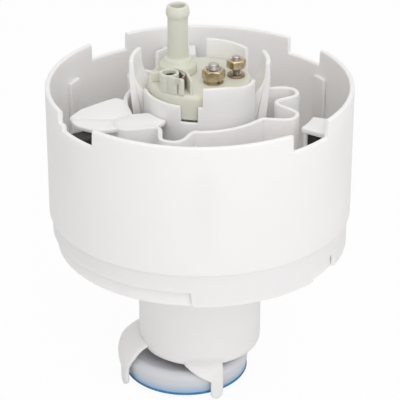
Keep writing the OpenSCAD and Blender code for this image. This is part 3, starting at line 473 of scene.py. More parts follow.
def sleeve_section(turn):
    """Section of the sleeve: skirt and lug outside, barrel, rounded rim, and back down the inside. The rim
    drops in the slots, and by two thirds in the step beside one of them; the lugs hang below the skirt."""
    ramp = 0.35
    slots = sum(band(turn, s - slot_deg / 2, s + slot_deg / 2, ramp) for s in rim_slots)
    first = rim_slots[3] - slot_deg / 2
    step = band(turn, first - step_deg, first + 1, ramp) * 2 / 3
    top = (rim_z - rim_drop * np.maximum(slots, step))[:, None]
    foot = (skirt_foot_z - lug_drop * sum(band(turn, a, b, 0.8) for a, b in lug_spans))[:, None]
    e, f = rim_round, skirt_round
    level = 0 * top
    skirt_rise = np.array([0.3, 0.6, 0.97])
    rise = np.linspace(0.05, 0.98, 9)
    parts = [
        corner(skirt_r - f, foot + f, f, -90),
        straight(skirt_r, foot + (barrel_foot_z - foot) * skirt_rise),
        corner(sleeve_r - e, barrel_foot_z + e + level, e, -90),
        straight(sleeve_r, barrel_foot_z + e + (top - barrel_foot_z - 2 * e) * rise),
        corner(sleeve_r - e, top - e, e, 0),
        corner(sleeve_in + e, top - e, e, 90),
        straight(sleeve_in, barrel_foot_z + 2 + (top - barrel_foot_z - 3) * rise[::-1]),
        straight(np.array([sleeve_in, skirt_in]), barrel_foot_z + np.array([2.0, 1.4]) + level),
        straight(skirt_in, foot + (barrel_foot_z - foot) * skirt_rise[::-1]),
        corner(skirt_in + f, foot + f, f, 180)]
    return [np.concatenate(side, 1) for side in zip(*parts)]


slot_edges = [s + side * slot_deg / 2 for s in rim_slots for side in (-1, 1)]
slot_edges.append(rim_slots[3] - slot_deg / 2 - step_deg)
lug_edges = [edge for span in lug_spans for edge in span]
sleeve_turns = ring_turns(slot_edges + lug_edges, 0.75, 0.5)
milky_piece("outer_sleeve_moulding", [ring_grid(sleeve_turns, sleeve_section)], "housing", "outer_sleeve")
# On the sleeve's inner wall stand three rails, and shelves on brackets; each is sunk a little into the wall
sunk_r = sleeve_in + 0.3
rail_in = sleeve_in - 1.6
rail_half_deg = 3.6
rail_foot_z = 89
rail_top_z = rim_z - rim_drop - 4.2
rail_grids = [arc_wall(rail_in, sunk_r, direction - rail_half_deg, direction + rail_half_deg, rail_foot_z,
                       rail_top_z, 0.7) for direction in (2, 122, 242)]
milky_piece("sleeve_rails", rail_grids, "housing")
buffer_spans = ((57, 69), (-67, -53), (183, 195))
shelf_z = 108.6
shelf_in = 49.8
bracket_in = 51
bracket_wall = 2
shelf_grids, bracket_grids = [], []
for start, end in buffer_spans:
    shelf_grids.append(arc_wall(shelf_in, sunk_r, start - 1, end + 1, shelf_z, shelf_z + 2, 0.5))
    for direction in (start + 1, end - 1):
        bracket = aim(np.linspace(bracket_in, sunk_r, 6), direction)
        foot_line = shelf_z + 0.5 - np.linspace(1.2, 10, 6)
        bracket_grids.append(wall_grid(bracket, bracket_wall, foot_line, shelf_z + 0.6, 0.5))
milky_piece("sleeve_shelves", shelf_grids, "housing")
milky_piece("sleeve_brackets", bracket_grids, "housing")


# Rubber buffers: three black pads that sit on the sleeve's shelves and cushion the cage's ledges.
# The guide ring in the neck and the liner round the pump are cut from the same dull nitrile.
rubber_face, place, given, outputs = new_group(
    "rubber_face", Tone=(0.008, 0.008, 0.008), Bloom=(0.025, 0.025, 0.025))
bloom = noise_node(rubber_face, place, 90.0, 5.0)
skin_grain = noise_node(rubber_face, place, 1500.0, 3.0)
put_out(rubber_face, outputs,
        colour_mix(rubber_face, math_node(rubber_face, "POWER", bloom, 3.0), given["Tone"], given["Bloom"]),
        math_node(rubber_face, "MULTIPLY_ADD", bloom, 0.3, 0.5),
        bump_normal(rubber_face, skin_grain, 0.00003))
black_rubber = new_material("black_rubber", rubber_face)[0]
dress(black_rubber, "guide_ring", "rubber_liner", "check_poppet")
buffer_low, buffer_high = node_size("rubber_buffers")
buffer_in = 49.6
# The pad at the left is shorter than its shelf
left_pad_start = -61.5
buffer_grids = [arc_wall(buffer_in, sleeve_in - 0.4, max(start, left_pad_start), end, buffer_low[2],
                         buffer_high[2], 0.6) for start, end in buffer_spans]
grid_piece("rubber_buffer_pads", buffer_grids, black_rubber, "housing", "black_rubber", "rubber_buffers")


# Spring cage: one thin moulded wall that meanders round the pump in three folded loops, so that the
# pump hangs soft and quiet. Ledges on posts outside the loops rest on the rubber buffers.
cage_low, cage_high = node_size("spring_cage")
cage_foot_z, cage_top_z = cage_low[2], cage_high[2]
cage_wall = 1.8
cage_r = 29.8
loop_r = 41.0
cage_edge = 0.6
loop_dirs = (-35, 85, 205)
# One third of the wall as radius and direction: out in a lobe, in to a valley, out again and back
cage_third = np.array([
    (cage_r, -33), (cage_r + 0.6, -29), (cage_r + 5.4, -26), (loop_r - 1, -22), (loop_r, -16),
    (loop_r - 1, -11.5), (loop_r - 5, -7), (cage_r + 1.9, -2.5), (cage_r + 0.5, 2), (cage_r + 1.5, 6),
    (cage_r + 5.2, 9), (loop_r - 1.6, 12.5), (loop_r - 0.8, 17), (loop_r - 1.2, 22), (loop_r - 4, 26),
    (cage_r + 1.6, 28.5), (cage_r - 0.6, 31), (cage_r, 36), (cage_r, 45), (cage_r, 54), (cage_r, 64),
    (cage_r, 75)])
cage_line = np.concatenate([aim(cage_third[:, 0], cage_third[:, 1] + turn) for turn in loop_dirs])
cage_line = soften(cage_line, 3.2, 6)
cage_line = cage_line[np.linalg.norm(cage_line - np.roll(cage_line, 1, 0), axis=1) > 0.02]
cage_grids = [wall_grid(cage_line, cage_wall, cage_foot_z, cage_top_z, cage_edge, closed=True)]
milky_piece("spring_cage_wall", cage_grids, "housing", "spring_cage")
ledge_t = 2.0
ledge_r = sleeve_in - 1.9
post_in = 47.2
post_t = 2
cage_rib_wall = 2.5
cage_rib_h = 11


def plate(name, outline, low, high, edge):
    """Flat plate over an outline: one face given a thickness, with all its edges rounded by a bevel."""
    mesh = bpy.data.meshes.new(name)
    points = np.concatenate([outline, np.full((len(outline), 1), high)], 1) * mm
    mesh.from_pydata(points.tolist(), [], [list(range(len(outline)))[::-1]])
    piece = finish_piece(name, mesh, milky_acetal, "housing")
    if piece.data.polygons[0].normal.z < 0:
        piece.data.flip_normals()
    solid = piece.modifiers.new("solid", "SOLIDIFY")
    solid.thickness = (high - low) * mm
    solid.offset = -1
    round_edge = piece.modifiers.new("round_edge", "BEVEL")
    round_edge.width = edge * mm
    round_edge.segments = 3
    round_edge.limit_method = "ANGLE"
    round_edge.angle_limit = np.radians(40)


post_grids = []
for k, (start, end) in enumerate(buffer_spans):
    rib_line = aim(np.linspace(loop_r - 1, post_in + 0.6, 6), (65, -57, 187)[k])
    post_grids.append(wall_grid(rib_line, cage_rib_wall, cage_foot_z + 0.05, cage_foot_z + cage_rib_h, 0.5))
    post_grids.append(arc_wall(post_in + 0.05, post_in + post_t, start + 1, end - 1, cage_foot_z,
                               cage_top_z - 0.3, 0.5))
    outline = np.concatenate([aim(ledge_r, np.linspace(start - 1, end + 1, 12)),
                              aim(post_in, np.linspace(end + 1, start - 1, 12))])
    if k != 1:
        plate(f"cage_ledge_{k + 1}", soften(outline, 0.9, 4), cage_top_z - ledge_t, cage_top_z, 0.45)
milky_piece("cage_posts", post_grids, "housing")
# The wide wing at the left is creased: behind the crease it lies a little over the wall's top, and its
# front part a little under it, so that the wall stands out of it
crease = [(-50.4, -18.2), (-33.8, -18.6)]
wing_back = np.concatenate([[(-33.6, 1.5), (-39.7, -3.3), (-47.2, -10.3), (-51.0, -17.9)], crease,
                            aim(cage_r, [-64, -70, -76, -82, -88])])
wing_front = np.concatenate([
    crease[:1], [(-50.0, -20.6), (-48.2, -23.8), (-44.4, -26.2), (-39.7, -28.6)],
    aim(np.array([41.6, 38, 33.4, 30.8]), [-50, -45, -39, -34]),
    aim(23.1, [-34, -39, -44, -49, -54, -59]), aim(cage_r, [-64]), crease[1:]])
plate("cage_wing", soften(wing_back, 1.6, 4), cage_top_z - ledge_t + 0.05, cage_top_z + 0.3, 0.45)
plate("cage_wing_front", soften(wing_front, 1.6, 4), cage_top_z - ledge_t, cage_top_z - 0.15, 0.45)


# Pump sleeve: thin milky tube slit into springy petals of three heights that grip the pump's head, with
# a flared finger at each side. Low down, two fins at each loop straddle the cage's valley.
holder_low, holder_high = node_size("pump_sleeve")
holder_r = 22.5
holder_in = 21.0
holder_foot_z = holder_low[2]
high_petal_z = holder_high[2]
petal_round = 0.45
wide_slot_z = 124.6
thin_slot_z = 120.6
# Direction, width and foot of each slot
holder_slots = ((-83, 1.8, thin_slot_z), (-11, 7.2, wide_slot_z), (79, 1.8, thin_slot_z),
                (115, 4.0, thin_slot_z), (182, 7.2, wide_slot_z), (238, 4.0, thin_slot_z))
# First and last direction of each lower petal, and its height; the front right one falls away by petal_fall
front_right = (3.1, 79)
low_petals = ((-83, 3.1, 131.2), (*front_right, 139.0), (182, 238, high_petal_z - 2.5),
              (79, 112, high_petal_z - 14.5), (241, 277, high_petal_z - 14.5))
petal_fall = ((3, 20, 31, 42, 53, 68), (0, 0.15, 0.6, 1.7, 2.7, 3.3))
fin_wall = 1.5
fin_foot_z, fin_top_z = holder_foot_z + 2, holder_foot_z + 16


def holder_section(turn):
    """Section of the pump sleeve: its top lies at the height of a petal, or at the foot of a slot."""
    top = np.full(len(turn), high_petal_z)
    for start, end, height in low_petals:
        top = top + (height - top) * band(turn, start, end, 0.7)
    top = top - np.interp((turn + 180) % 360 - 180, *petal_fall) * band(turn, *front_right, 0.7)
    for direction, width, foot in holder_slots:
        half = np.degrees(width / 2 / holder_r)
        top = top + (foot - top) * band(turn, direction - half, direction + half, 0.7)
    top = top[:, None]
    e = petal_round
    low, high = holder_foot_z + e + 0 * top, top - e
    rise = holder_foot_z + e + (top - holder_foot_z - 2 * e) * np.linspace(0, 1, 12)
    parts = [straight(holder_r, rise), corner(holder_r - e, high, e, 0), corner(holder_in + e, high, e, 90),
             straight(holder_in, rise[:, ::-1]), corner(holder_in + e, low, e, 180),
             corner(holder_r - e, low, e, 270)]
    return [np.concatenate(side, 1) for side in zip(*parts)]


slot_edges = [d + side * np.degrees(w / 2 / holder_r) for d, w, foot in holder_slots for side in (-1, 1)]
slot_edges += [front_right[0], 112, 241]
milky_piece("pump_sleeve_petals", [ring_grid(ring_turns(slot_edges, 1.5, 0.7), holder_section)], "pump",
            "pump_sleeve")
fin_grids = []
for direction in loop_dirs:
    turn = np.radians(direction)
    for x in (-4.65, 5.75):
        y = -np.linspace(holder_r - 0.3, cage_r + 0.7, 6)
        fin = np.stack([x * np.cos(turn) - y * np.sin(turn), x * np.sin(turn) + y * np.cos(turn)], -1)
        fin_grids.append(wall_grid(fin, fin_wall, fin_foot_z, fin_top_z, 0.5))
milky_piece("pump_sleeve_fins", fin_grids, "pump")
finger_round = 0.5


def finger_grid(start, end):
    """Finger that leans out past the cap: its section of radius and height, swept between two directions and
    drawn in by a quarter circle at both ends."""
    section = soften([(holder_in + 0.02, 109), (holder_r, 109), (26.4, 116), (28.1, high_petal_z - 8),
                      (27.9, high_petal_z), (26.1, high_petal_z), (25.7, high_petal_z - 8),
                      (21.4, high_petal_z - 14.5), (holder_in + 0.02, high_petal_z - 15.5)],
                     [0.2, 2, 2, 3, 0.7, 0.7, 3, 1, 1], 5)
    inward = around_line(section, True)
    e = finger_round
    bend = np.radians([0, 18, 36, 54, 72, 90])
    drawn_in = np.degrees(e * (1 - np.cos(bend)) / 26)
    turns = np.concatenate([start + drawn_in, np.linspace(start, end, 14)[1:-1], end - drawn_in[::-1]])
    inset = np.concatenate([e * (1 - np.sin(bend)), np.zeros(12), e * (1 - np.sin(bend[::-1]))])
    rings = section[None] + inward[None] * inset[:, None, None]
    flat = aim(rings[..., 0], turns[:, None])
    return np.concatenate([flat, rings[..., 1:]], -1), False, True


fingers = skin_mesh("pump_sleeve_fingers", [finger_grid(81, 110), finger_grid(243, 275)])
work = bmesh.new()
work.from_mesh(fingers)
bmesh.ops.holes_fill(work, edges=[edge for edge in work.edges if edge.is_boundary])
work.to_mesh(fingers)
work.free()
finish_piece("pump_sleeve_fingers", fingers, milky_acetal, "pump")


# Strainer: a dished plastic cover with a fat round rim, plugged on the inlet spigot, and a fine blue
# woven screen stretched over ribs underneath.
strainer_low, strainer_high = node_size("strainer_frame")
strainer_r = (strainer_high[0] - strainer_low[0]) / 2
strainer_foot_z = node_size("strainer_screen")[0][2]
strainer_h = 10.4
strainer_top_z = strainer_foot_z + strainer_h
cover_foot_z = strainer_foot_z + 1.1
bead_r = 3.0
dish_z = strainer_top_z - 2.4
dish_t = 1.4
spigot_r = 7.0
strainer_plastic = moulded_material("strainer_plastic", (0.74, 0.75, 0.78), (0.68, 0.69, 0.73), 0.28, 0.3)
tree = strainer_plastic.node_tree
place = tree.nodes.new("ShaderNodeTexCoord")
split = tree.nodes.new("ShaderNodeSeparateXYZ")
tree.links.new(place.outputs["Object"], split.inputs[0])
# Painted see-through light: the blue of the screen, as it would shine through the thin skirt, is painted into
# the cover's colour and fades out 4 mm above it
painted_screen_blue = tree.nodes.new("ShaderNodeMapRange")
painted_screen_blue.inputs["From Min"].default_value = (strainer_foot_z + 1.4) * mm
painted_screen_blue.inputs["From Max"].default_value = (strainer_foot_z + 5.4) * mm
tree.links.new(split.outputs["Z"], painted_screen_blue.inputs["Value"])
face = next(node for node in tree.nodes if node.type == "GROUP")
tree.links.new(colour_mix(tree, painted_screen_blue.outputs["Result"], (0.36, 0.6, 0.84), face.outputs["Colour"]),
               tree.nodes["Principled BSDF"].inputs["Base Color"])
ring_r = strainer_r - bead_r
bead_turn = np.radians(np.linspace(96, -15, 26))
bead = np.stack([ring_r + bead_r * np.cos(bead_turn),
                 strainer_top_z - bead_r + bead_r * np.sin(bead_turn)], -1)
cover_outline = np.concatenate([
    soften([(spigot_r - 1, dish_z), (ring_r - 11, dish_z), (ring_r - 2, strainer_top_z - 0.35), bead[0]],
           [0, 6, 3, 0], 8, closed=False),
    bead[1:],
    soften([bead[-1], (strainer_r - 0.8, cover_foot_z), (ring_r + 1.2, cover_foot_z),
            (ring_r - 1.4, strainer_top_z - bead_r - 1.2), (ring_r - 8, dish_z - dish_t),
            (spigot_r - 1, dish_z - dish_t)], [0, 0.4, 0.4, 1, 2, 0], 4, closed=False)[1:]])
socket_in, socket_r = spigot_r + 0.05, spigot_r + 1.6
socket_foot_z, socket_top_z = dish_z - 1.2, strainer_top_z + 1.6
socket_outline = soften([(socket_in, socket_foot_z), (socket_r, socket_foot_z), (socket_r, socket_top_z),
                         (socket_in, socket_top_z)], 0.5)
strainer_grids = [(lathe(cover_outline, 160, strainer_axis), True, True),
                  (lathe(socket_outline, 96), True, True)]
grid_piece("strainer_cover", strainer_grids, strainer_plastic, "pump", "strainer_plastic", "strainer_frame")
dress(strainer_plastic, "strainer_ribs")

woven_screen, place, given, outputs = new_group(
    "woven_screen", Thread=(0.06, 0.22, 0.44), Gap=(0.03, 0.11, 0.24), Threads=2600.0)
split = woven_screen.nodes.new("ShaderNodeSeparateXYZ")
woven_screen.links.new(place, split.inputs[0])
waves = []
for axis in ("X", "Y"):
    along = math_node(woven_screen, "MULTIPLY", split.outputs[axis], given["Threads"])
    waves.append(math_node(woven_screen, "ABSOLUTE", math_node(woven_screen, "SINE", along)))
thread = math_node(woven_screen, "MAXIMUM", *waves)
put_out(woven_screen, outputs, colour_mix(woven_screen, thread, given["Gap"], given["Thread"]),
        math_node(woven_screen, "MULTIPLY_ADD", thread, -0.15, 0.6),
        bump_normal(woven_screen, thread, 0.00015))
blue_screen = new_material("blue_screen", woven_screen)[0]
screen_r = strainer_r - 0.4
screen_t = 0.8
screen_outline = soften(
    [(0, strainer_foot_z), (screen_r - 0.8, strainer_foot_z), (screen_r, strainer_foot_z + 0.6),
     (screen_r, strainer_foot_z + 1.2), (screen_r - 0.8, strainer_foot_z + 1.3),
     (screen_r - 3.8, strainer_foot_z + screen_t), (0, strainer_foot_z + screen_t)], 0.4, 5, closed=False)
grid_piece("strainer_mesh", [(lathe(screen_outline, 160, strainer_axis), True, False)], blue_screen, "pump",
           "blue_screen", "strainer_screen")


# Pump can and what it holds: drawn steel can, ferrite magnets, iron armature, copper windings and
# commutator, carbon brushes and impeller, bronze bushes, die-cast plate and cover. Mostly hidden.
worked_metal, place, given, outputs = new_group(
    "worked_metal", Tone=(0.6, 0.6, 0.6), Tarnish=(0.3, 0.28, 0.25), Tarnish_Share=0.35, Roughness=0.25)
patch = noise_node(worked_metal, place, 260.0, 5.0)
tool_marks = noise_node(worked_metal, place, 1800.0, 2.0)
dull = math_node(worked_metal, "MULTIPLY", math_node(worked_metal, "POWER", patch, 2.0),
                 math_node(worked_metal, "MULTIPLY", given["Tarnish Share"], 3.0))
put_out(worked_metal, outputs, colour_mix(worked_metal, dull, given["Tone"], given["Tarnish"]),
        math_node(worked_metal, "MULTIPLY_ADD", patch, 0.25, given["Roughness"]),
        bump_normal(worked_metal, tool_marks, 0.00001))


def metal_material(name, tone, tarnish, share, roughness):
    """Worked metal with dull patches; share is how much of it has dulled."""
    material, shader = new_material(name, worked_metal, Tone=tone, Tarnish=tarnish, Tarnish_Share=share,
                                    Roughness=roughness)
    shader.inputs["Metallic"].default_value = 1.0
    return material


for name, tone, tarnish, share, roughness, *made_of_it in (
        ("bright_steel", (0.72, 0.7, 0.68), (0.4, 0.36, 0.32), 0.25, 0.16, "pump_can", "shaft",
         "relief_ball"),
        ("spring_steel", (0.5, 0.5, 0.52), (0.25, 0.24, 0.24), 0.3, 0.3, "check_spring", "relief_spring",
         "brush_spring_left", "brush_spring_right", "magnet_clips"),
        ("enamelled_copper", (0.7, 0.32, 0.16), (0.35, 0.15, 0.08), 0.3, 0.25, "armature_windings",
         "commutator"),
        ("sintered_bronze", (0.55, 0.4, 0.22), (0.3, 0.2, 0.1), 0.4, 0.4, "upper_bush", "lower_bush",
         "relief_plug"),
        ("die_cast_alloy", (0.6, 0.6, 0.61), (0.4, 0.4, 0.4), 0.3, 0.4, "pump_plate", "inlet_cover")):
    dress(metal_material(name, tone, tarnish, share, roughness), *made_of_it)
ferrite = moulded_material("sintered_ferrite", (0.04, 0.038, 0.038), (0.03, 0.028, 0.028), 0.75)
ferrite.node_tree.nodes["Principled BSDF"].inputs["Specular IOR Level"].default_value = 0.1
carbon = moulded_material("pressed_carbon", (0.03, 0.03, 0.03), (0.02, 0.02, 0.02), 0.4)
dress(ferrite, "magnets", "armature_core", "choke_core")
dress(carbon, "impeller", "brush_left", "brush_right")


# Cap: pale green fuel-proof plastic. A skirt over the can, a round lip, a hollow tower with a slotted
# wing and a curved guard round them; the hose nipple with its stepped collar is welded in. Under the
# deck only the wall that plugs the can is made, because the rest is out of sight.
cap_low, cap_high = node_size("pump_cap")
cap_r = (cap_high[0] - cap_low[0]) / 2
cap_foot_z = 125.0
deck_z = 135.0
deck_foot_z = 133.2
deck_face_z = deck_z + 0.03
plug_in = 16.6
plug_r = 18.3
cap_skirt_in = 19.1
can_top_z = 127.1
channel_at = np.array([-11.2, -11.8])
tower_at = np.array([-11.9, -11.8])
tower_r = 3.8
tower_in = 2.75
tower_top_z = cap_high[2]
cap_plastic = moulded_material("cap_plastic", (0.76, 0.757, 0.655), (0.69, 0.692, 0.59), 0.32, 0.3)


def node_axis(name):
    """Lowest and highest corner of a CAD node, and the place of its upright axis."""
    low, high = node_size(name)
    return low, high, (low[:2] + high[:2]) / 2


def cap_piece(name, grids, *replaced):
    """Piece of the cap's green plastic over grids of points."""
    grid_piece(name, grids, cap_plastic, "pump", "cap_plastic", *replaced)


cap_outline = soften(
    [(0, deck_foot_z), (plug_in, deck_foot_z), (plug_in, cap_low[2]), (plug_r, cap_low[2]),
     (plug_r, can_top_z), (cap_skirt_in, can_top_z), (cap_skirt_in, cap_foot_z), (cap_r, cap_foot_z),
     (cap_r, deck_face_z), (16.0, deck_face_z), (0, deck_face_z)],
    [0, 0.3, 0.3, 0.3, 0.1, 0.1, 0.2, 0.3, 2.2, 0, 0], 9, closed=False)
cap_piece("cap_moulding", [(lathe(cap_outline, 160), True, False)], "pump_cap")
tower_outline = soften(
    [(0, deck_z + 0.8), (tower_in, deck_z + 0.8), (tower_in, tower_top_z), (tower_r, tower_top_z),
     (tower_r, deck_z - 0.4), (0, deck_z - 0.4)], [0, 0.3, 0.35, 0.35, 0, 0], 6, closed=False)
cap_piece("cap_tower", [(lathe(tower_outline, 96, tower_at), True, False)])
wing_r = 19.65
wing_t = 1.1
wing_foot_z = deck_z - 0.3
wing_turns = np.linspace(-24.2, -18, 16)
corner_run = np.clip((wing_turns + 21.5) / 3.5, 0, 1)
wing_top = tower_top_z - 1.2 * (1 - np.sqrt(1 - corner_run ** 2))
wing_grids = [
    wall_grid(aim(wing_r, np.linspace(-39, -26.8, 12)), wing_t, wing_foot_z, tower_top_z, 0.3),
    wall_grid(aim(wing_r, wing_turns), wing_t, wing_foot_z, wing_top, 0.3),
    wall_grid(aim(wing_r, np.linspace(-28, -23, 8)), wing_t - 0.02, deck_z + 4.2, tower_top_z - 0.02, 0.3)]
cap_piece("cap_wing", wing_grids)
guard_r = 6.6
guard_line = np.concatenate([[(-19.0, -5.4), (-16, -5.3)],
                             channel_at + aim(guard_r, np.linspace(190, 90, 6)), [(-3.2, -18.2)]])
guard_line = soften(guard_line, 1.2, 4, closed=False)
guard_line = guard_line[np.concatenate([[True], np.linalg.norm(np.diff(guard_line, axis=0), axis=1) > 0.02])]
guard_top = tower_top_z - np.interp(guard_line[:, 0], [-19, -14, -8, -4.5], [3.2, 1.9, 1.4, 0.9])
cap_piece("cap_guard", [wall_grid(guard_line, wing_t, wing_foot_z, guard_top, 0.4, count=48)])
nipple_axis = node_axis("outlet_nipple")[2]
nipple_top_z = node_size("outlet_nipple")[1][2]
nipple_r = 4.15
mouth_r = 4.75
bore_r = 2.9
collar_r = 7.6
nipple_outline = soften(
    [(bore_r, deck_z - 2), (4.98, deck_z - 2), (4.98, deck_z), (collar_r, deck_z), (collar_r, deck_z + 3.2),
     (collar_r - 1.6, deck_z + 4.6), (collar_r - 2.2, deck_z + 6.0), (nipple_r + 0.2, deck_z + 6.4),
     (nipple_r, deck_z + 9), (nipple_r - 0.1, nipple_top_z - 5.0), (mouth_r - 0.15, nipple_top_z - 4.0),
     (mouth_r, nipple_top_z - 2.6), (nipple_r, nipple_top_z - 0.2), (nipple_r - 0.7, nipple_top_z),
     (bore_r + 0.3, nipple_top_z), (bore_r, nipple_top_z - 0.5)],
    [0.2, 0.2, 0.2, 0.5, 0.8, 0.8, 0.6, 0.8, 2.0, 0.5, 0.6, 1.0, 0.6, 0.4, 0.4, 0.3], 6)
cap_piece("hose_nipple", [(lathe(nipple_outline, 96, nipple_axis), True, True)], "outlet_nipple")


# Contact strap: a tinned bronze strip bent into the channel between tower and guard, dull brown, with
# its top edge folded in. It feeds the ferrite choke core that stands in the tower.
strap_metal = metal_material("tarnished_strap", (0.56, 0.48, 0.42), (0.36, 0.3, 0.26), 0.45, 0.32)
strap_top_z = node_size("contact_strap")[1][2]
strap_round = 0.22
strap_grids = [arc_wall(4.75, 5.55, 60, 205, deck_z, strap_top_z - 0.5, strap_round, channel_at, 40),
               arc_wall(4.1, 5.5, 92, 205, strap_top_z - 0.9, strap_top_z - 0.3, strap_round, channel_at, 40)]
grid_piece("strap_strip", strap_grids, strap_metal, "pump", "tinned_strap", "contact_strap")


# Terminals: threaded steel studs moulded in the cap, each with a plain domed point, and yellow
# passivated hexagon nuts with chamfered corners over plain washers.
nut_metal = metal_material("yellow_zinc", (0.76, 0.64, 0.44), (0.24, 0.18, 0.09), 0.5, 0.14)
washer_metal = metal_material("dull_zinc", (0.5, 0.4, 0.28), (0.18, 0.13, 0.08), 0.5, 0.3)
stud_steel = metal_material("stud_steel", (0.62, 0.59, 0.56), (0.22, 0.19, 0.16), 0.5, 0.2)
dress(washer_metal, "lock_washer_m5")


def stud_grid(name, shank_r, pitch, foot_r, cut_back):
    """Stud turned about its own axis: a round foot in the cap, then a shank whose radius drops by the
    thread's depth in a wave that climbs one pitch in a turn, and a plain round point. The point ends
    lower than the CAD node's by cut_back."""
    low, high, centre = node_axis(name)
    turn = np.linspace(0, 2 * np.pi, 48, endpoint=False)[:, None]
    point_r = shank_r * 0.8
    point_z = high[2] - cut_back
    shoulder = point_z - 1.5
    rise = np.arange(low[2] + 2.2, shoulder, pitch / 8)[None]
    wave = np.abs(((rise / pitch - turn / (2 * np.pi)) % 1) * 2 - 1)
    thread = shank_r - 0.7 * pitch * wave
    foot = np.array([(0, low[2]), (foot_r, low[2]), (foot_r, low[2] + 1.5), (shank_r, low[2] + 1.6)])
    dome = np.radians(np.linspace(0, 90, 6))
    tip = np.concatenate([
        [(shank_r - 0.3, shoulder), (point_r, shoulder + 0.5)],
        np.stack([point_r - 0.8 + 0.8 * np.cos(dome), point_z - 0.6 + 0.6 * np.sin(dome)], -1),
        [(0, point_z)]])
    ones = np.ones_like(turn)
    radius = np.concatenate([ones * foot[:, 0], thread, ones * tip[:, 0]], 1)
    height = np.concatenate([ones * foot[:, 1], ones * rise, ones * tip[:, 1]], 1)
    return about_axis(centre, turn, radius, height), True, False


nut_added = 0.4
chamfer_h = 0.9
chamfer_slope = 1.7
countersink = 0.5


def nut_grid(name, across_flats, bore_r, turned):
    """Hexagon nut: its radius is the hexagon's, held in by a cone at both ends, which cuts the corners to
    arcs; the bore is countersunk. It is taller than the CAD node by nut_added."""
    low, high, centre = node_axis(name)
    foot, top = low[2], high[2] + nut_added
    turn = np.linspace(0, 2 * np.pi, 144, endpoint=False)[:, None]
    part = (turn + turned + np.pi / 6) % (np.pi / 3) - np.pi / 6
    hexagon = across_flats / 2 / np.cos(part)
    ease = np.linspace(0, 1, 9)
    edge = np.concatenate([chamfer_h * ease, chamfer_h + (top - foot - 2 * chamfer_h) * ease[1:-1],
                           top - foot - chamfer_h * ease[::-1]])[None]
    cone = across_flats / 2 - 0.25 + chamfer_slope * np.minimum(edge, top - foot - edge)
    sharp = 0.12
    outer = -sharp * np.log(np.exp(-hexagon / sharp) + np.exp(-cone / sharp))
    ones = np.ones_like(turn)
    mouth, bore = ones * (bore_r + countersink), ones * bore_r
    radius = np.concatenate([mouth, outer, mouth, bore, bore], 1)
    height = np.concatenate([ones * foot, foot + edge * ones, ones * top, ones * (top - countersink),
                             ones * (foot + countersink)], 1)
    return about_axis(centre, turn, radius, height), True, True


def washer_grid(name, bore_r):
    """Flat washer with rolled edges."""
    low, high, centre = node_axis(name)
    outer_r = (high[0] - low[0]) / 2
    outline = [(bore_r, low[2]), (outer_r, low[2]), (outer_r, high[2]), (bore_r, high[2])]
    return lathe(soften(outline, 0.2, 4), 64, centre), True, True


m5_bore_r, m4_bore_r = 2.55, 2.05
for name, *sizes in (("stud_m5", 2.5, 0.8, 4.0, 0.9), ("stud_m4", 2.0, 0.7, 3.2, 0.3)):
    grid_piece(name + "_threaded", [stud_grid(name, *sizes)], stud_steel, "pump", "steel", name)
for name, *sizes in (("nut_m5", 8.0, m5_bore_r, np.radians(30)), ("nut_m4", 7.0, m4_bore_r, np.radians(16))):
    grid_piece(name + "_chamfered", [nut_grid(name, *sizes)], nut_metal, "pump", "zinc_brass", name)
for name, bore_r in (("washer_m5", m5_bore_r), ("washer_m4", m4_bore_r)):
    grid_piece(name + "_rolled", [washer_grid(name, bore_r)], washer_metal, "pump", "zinc_brass", name)


# Floor and backdrop: one plain pale sheet that takes the pump's shadow and that the camera sees as
# nearly white.
floor_half = 3.0
corners = [(x * floor_half, y * floor_half, 0) for x, y in ((-1, -1), (1, -1), (1, 1), (-1, 1))]
floor_mesh = bpy.data.meshes.new("floor")
floor_mesh.from_pydata(corners, [], [(0, 1, 2, 3)])
floor = new_object("floor", floor_mesh)
floor_paint = bpy.data.materials.new("floor_paint")
floor_paint.use_nodes = True
tree = floor_paint.node_tree
tree.nodes.remove(tree.nodes["Principled BSDF"])
out = tree.nodes["Material Output"]
matt = tree.nodes.new("ShaderNodeBsdfDiffuse")
matt.inputs["Color"].default_value = (0.93, 0.93, 0.93, 1)
glow = tree.nodes.new("ShaderNodeEmission")
glow.inputs["Color"].default_value = (1, 1, 1, 1)
seen = tree.nodes.new("ShaderNodeLightPath")
share = math_node(tree, "MULTIPLY", seen.outputs["Is Camera Ray"], 0.95)
mix = tree.nodes.new("ShaderNodeMixShader")
for k, layer in enumerate((share, matt.outputs[0], glow.outputs[0])):
    tree.links.new(layer, mix.inputs[k])
tree.links.new(mix.outputs[0], out.inputs["Surface"])
floor_mesh.materials.append(floor_paint)


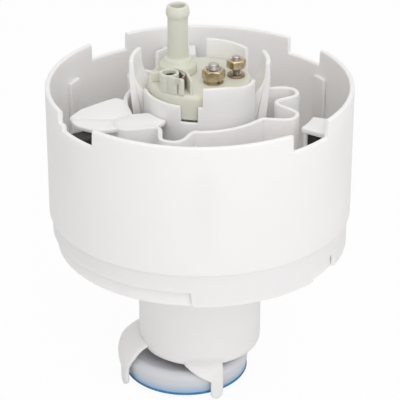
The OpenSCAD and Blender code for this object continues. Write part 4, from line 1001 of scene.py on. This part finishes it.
# World and lamps: an even white studio with two broad soft lamps, overhead and high in front. The
# camera, metal and glass see the world as white.
world = bpy.data.worlds.new("studio")
bpy.context.scene.world = world
world.use_nodes = True
tree = world.node_tree
sky = tree.nodes["Background"]
sky.inputs["Color"].default_value = (1, 1, 1, 1)
seen = tree.nodes.new("ShaderNodeLightPath")
direct = math_node(tree, "MAXIMUM", seen.outputs["Is Camera Ray"], seen.outputs["Is Glossy Ray"])
either = math_node(tree, "MAXIMUM", direct, seen.outputs["Is Transmission Ray"])
strength = tree.nodes.new("ShaderNodeMapRange")
strength.inputs["To Min"].default_value = 0.63
strength.inputs["To Max"].default_value = 1.0
tree.links.new(either, strength.inputs["Value"])
tree.links.new(strength.outputs["Result"], sky.inputs["Strength"])


def soft_lamp(name, place, aim, width, power):
    """Square area lamp at place, turned to face aim."""
    lamp = bpy.data.lights.new(name, "AREA")
    lamp.shape = "SQUARE"
    lamp.size = width
    lamp.energy = power
    holder = new_object(name, lamp)
    holder.location = place
    holder.rotation_euler = (Vector(aim) - Vector(place)).to_track_quat("-Z", "Y").to_euler()


middle = (0, 0, 0.08)
soft_lamp("lamp_top", (0.05, -0.25, 0.9), middle, 0.7, 1.6)
soft_lamp("lamp_front", (0.3, -0.85, 0.62), middle, 0.8, 2.8)


# Camera where the photograph was taken from: straight in front, looking down on the rim. Its place and
# its focal length are fitted to the circles of the rim.
camera_distance = 0.78113
camera_rise = np.radians(26.86)
aim_z = 0.0825
photo_px = 400
focal_px = 1910.65
axis_px = (199.79, 194.25)
camera_data = bpy.data.cameras.new("camera")
camera = new_object("camera", camera_data)
camera.location = (0, -camera_distance * np.cos(camera_rise), aim_z + camera_distance * np.sin(camera_rise))
camera.rotation_euler = (np.pi / 2 - camera_rise, 0, 0)
camera_data.sensor_width = 36
camera_data.lens = focal_px / photo_px * camera_data.sensor_width
camera_data.shift_x = (photo_px / 2 - axis_px[0]) / photo_px
camera_data.shift_y = (axis_px[1] - photo_px / 2) / photo_px
camera_data.clip_start = 0.01
camera_data.clip_end = 20
bpy.context.scene.camera = camera
bpy.context.scene.view_settings.view_transform = "Standard"
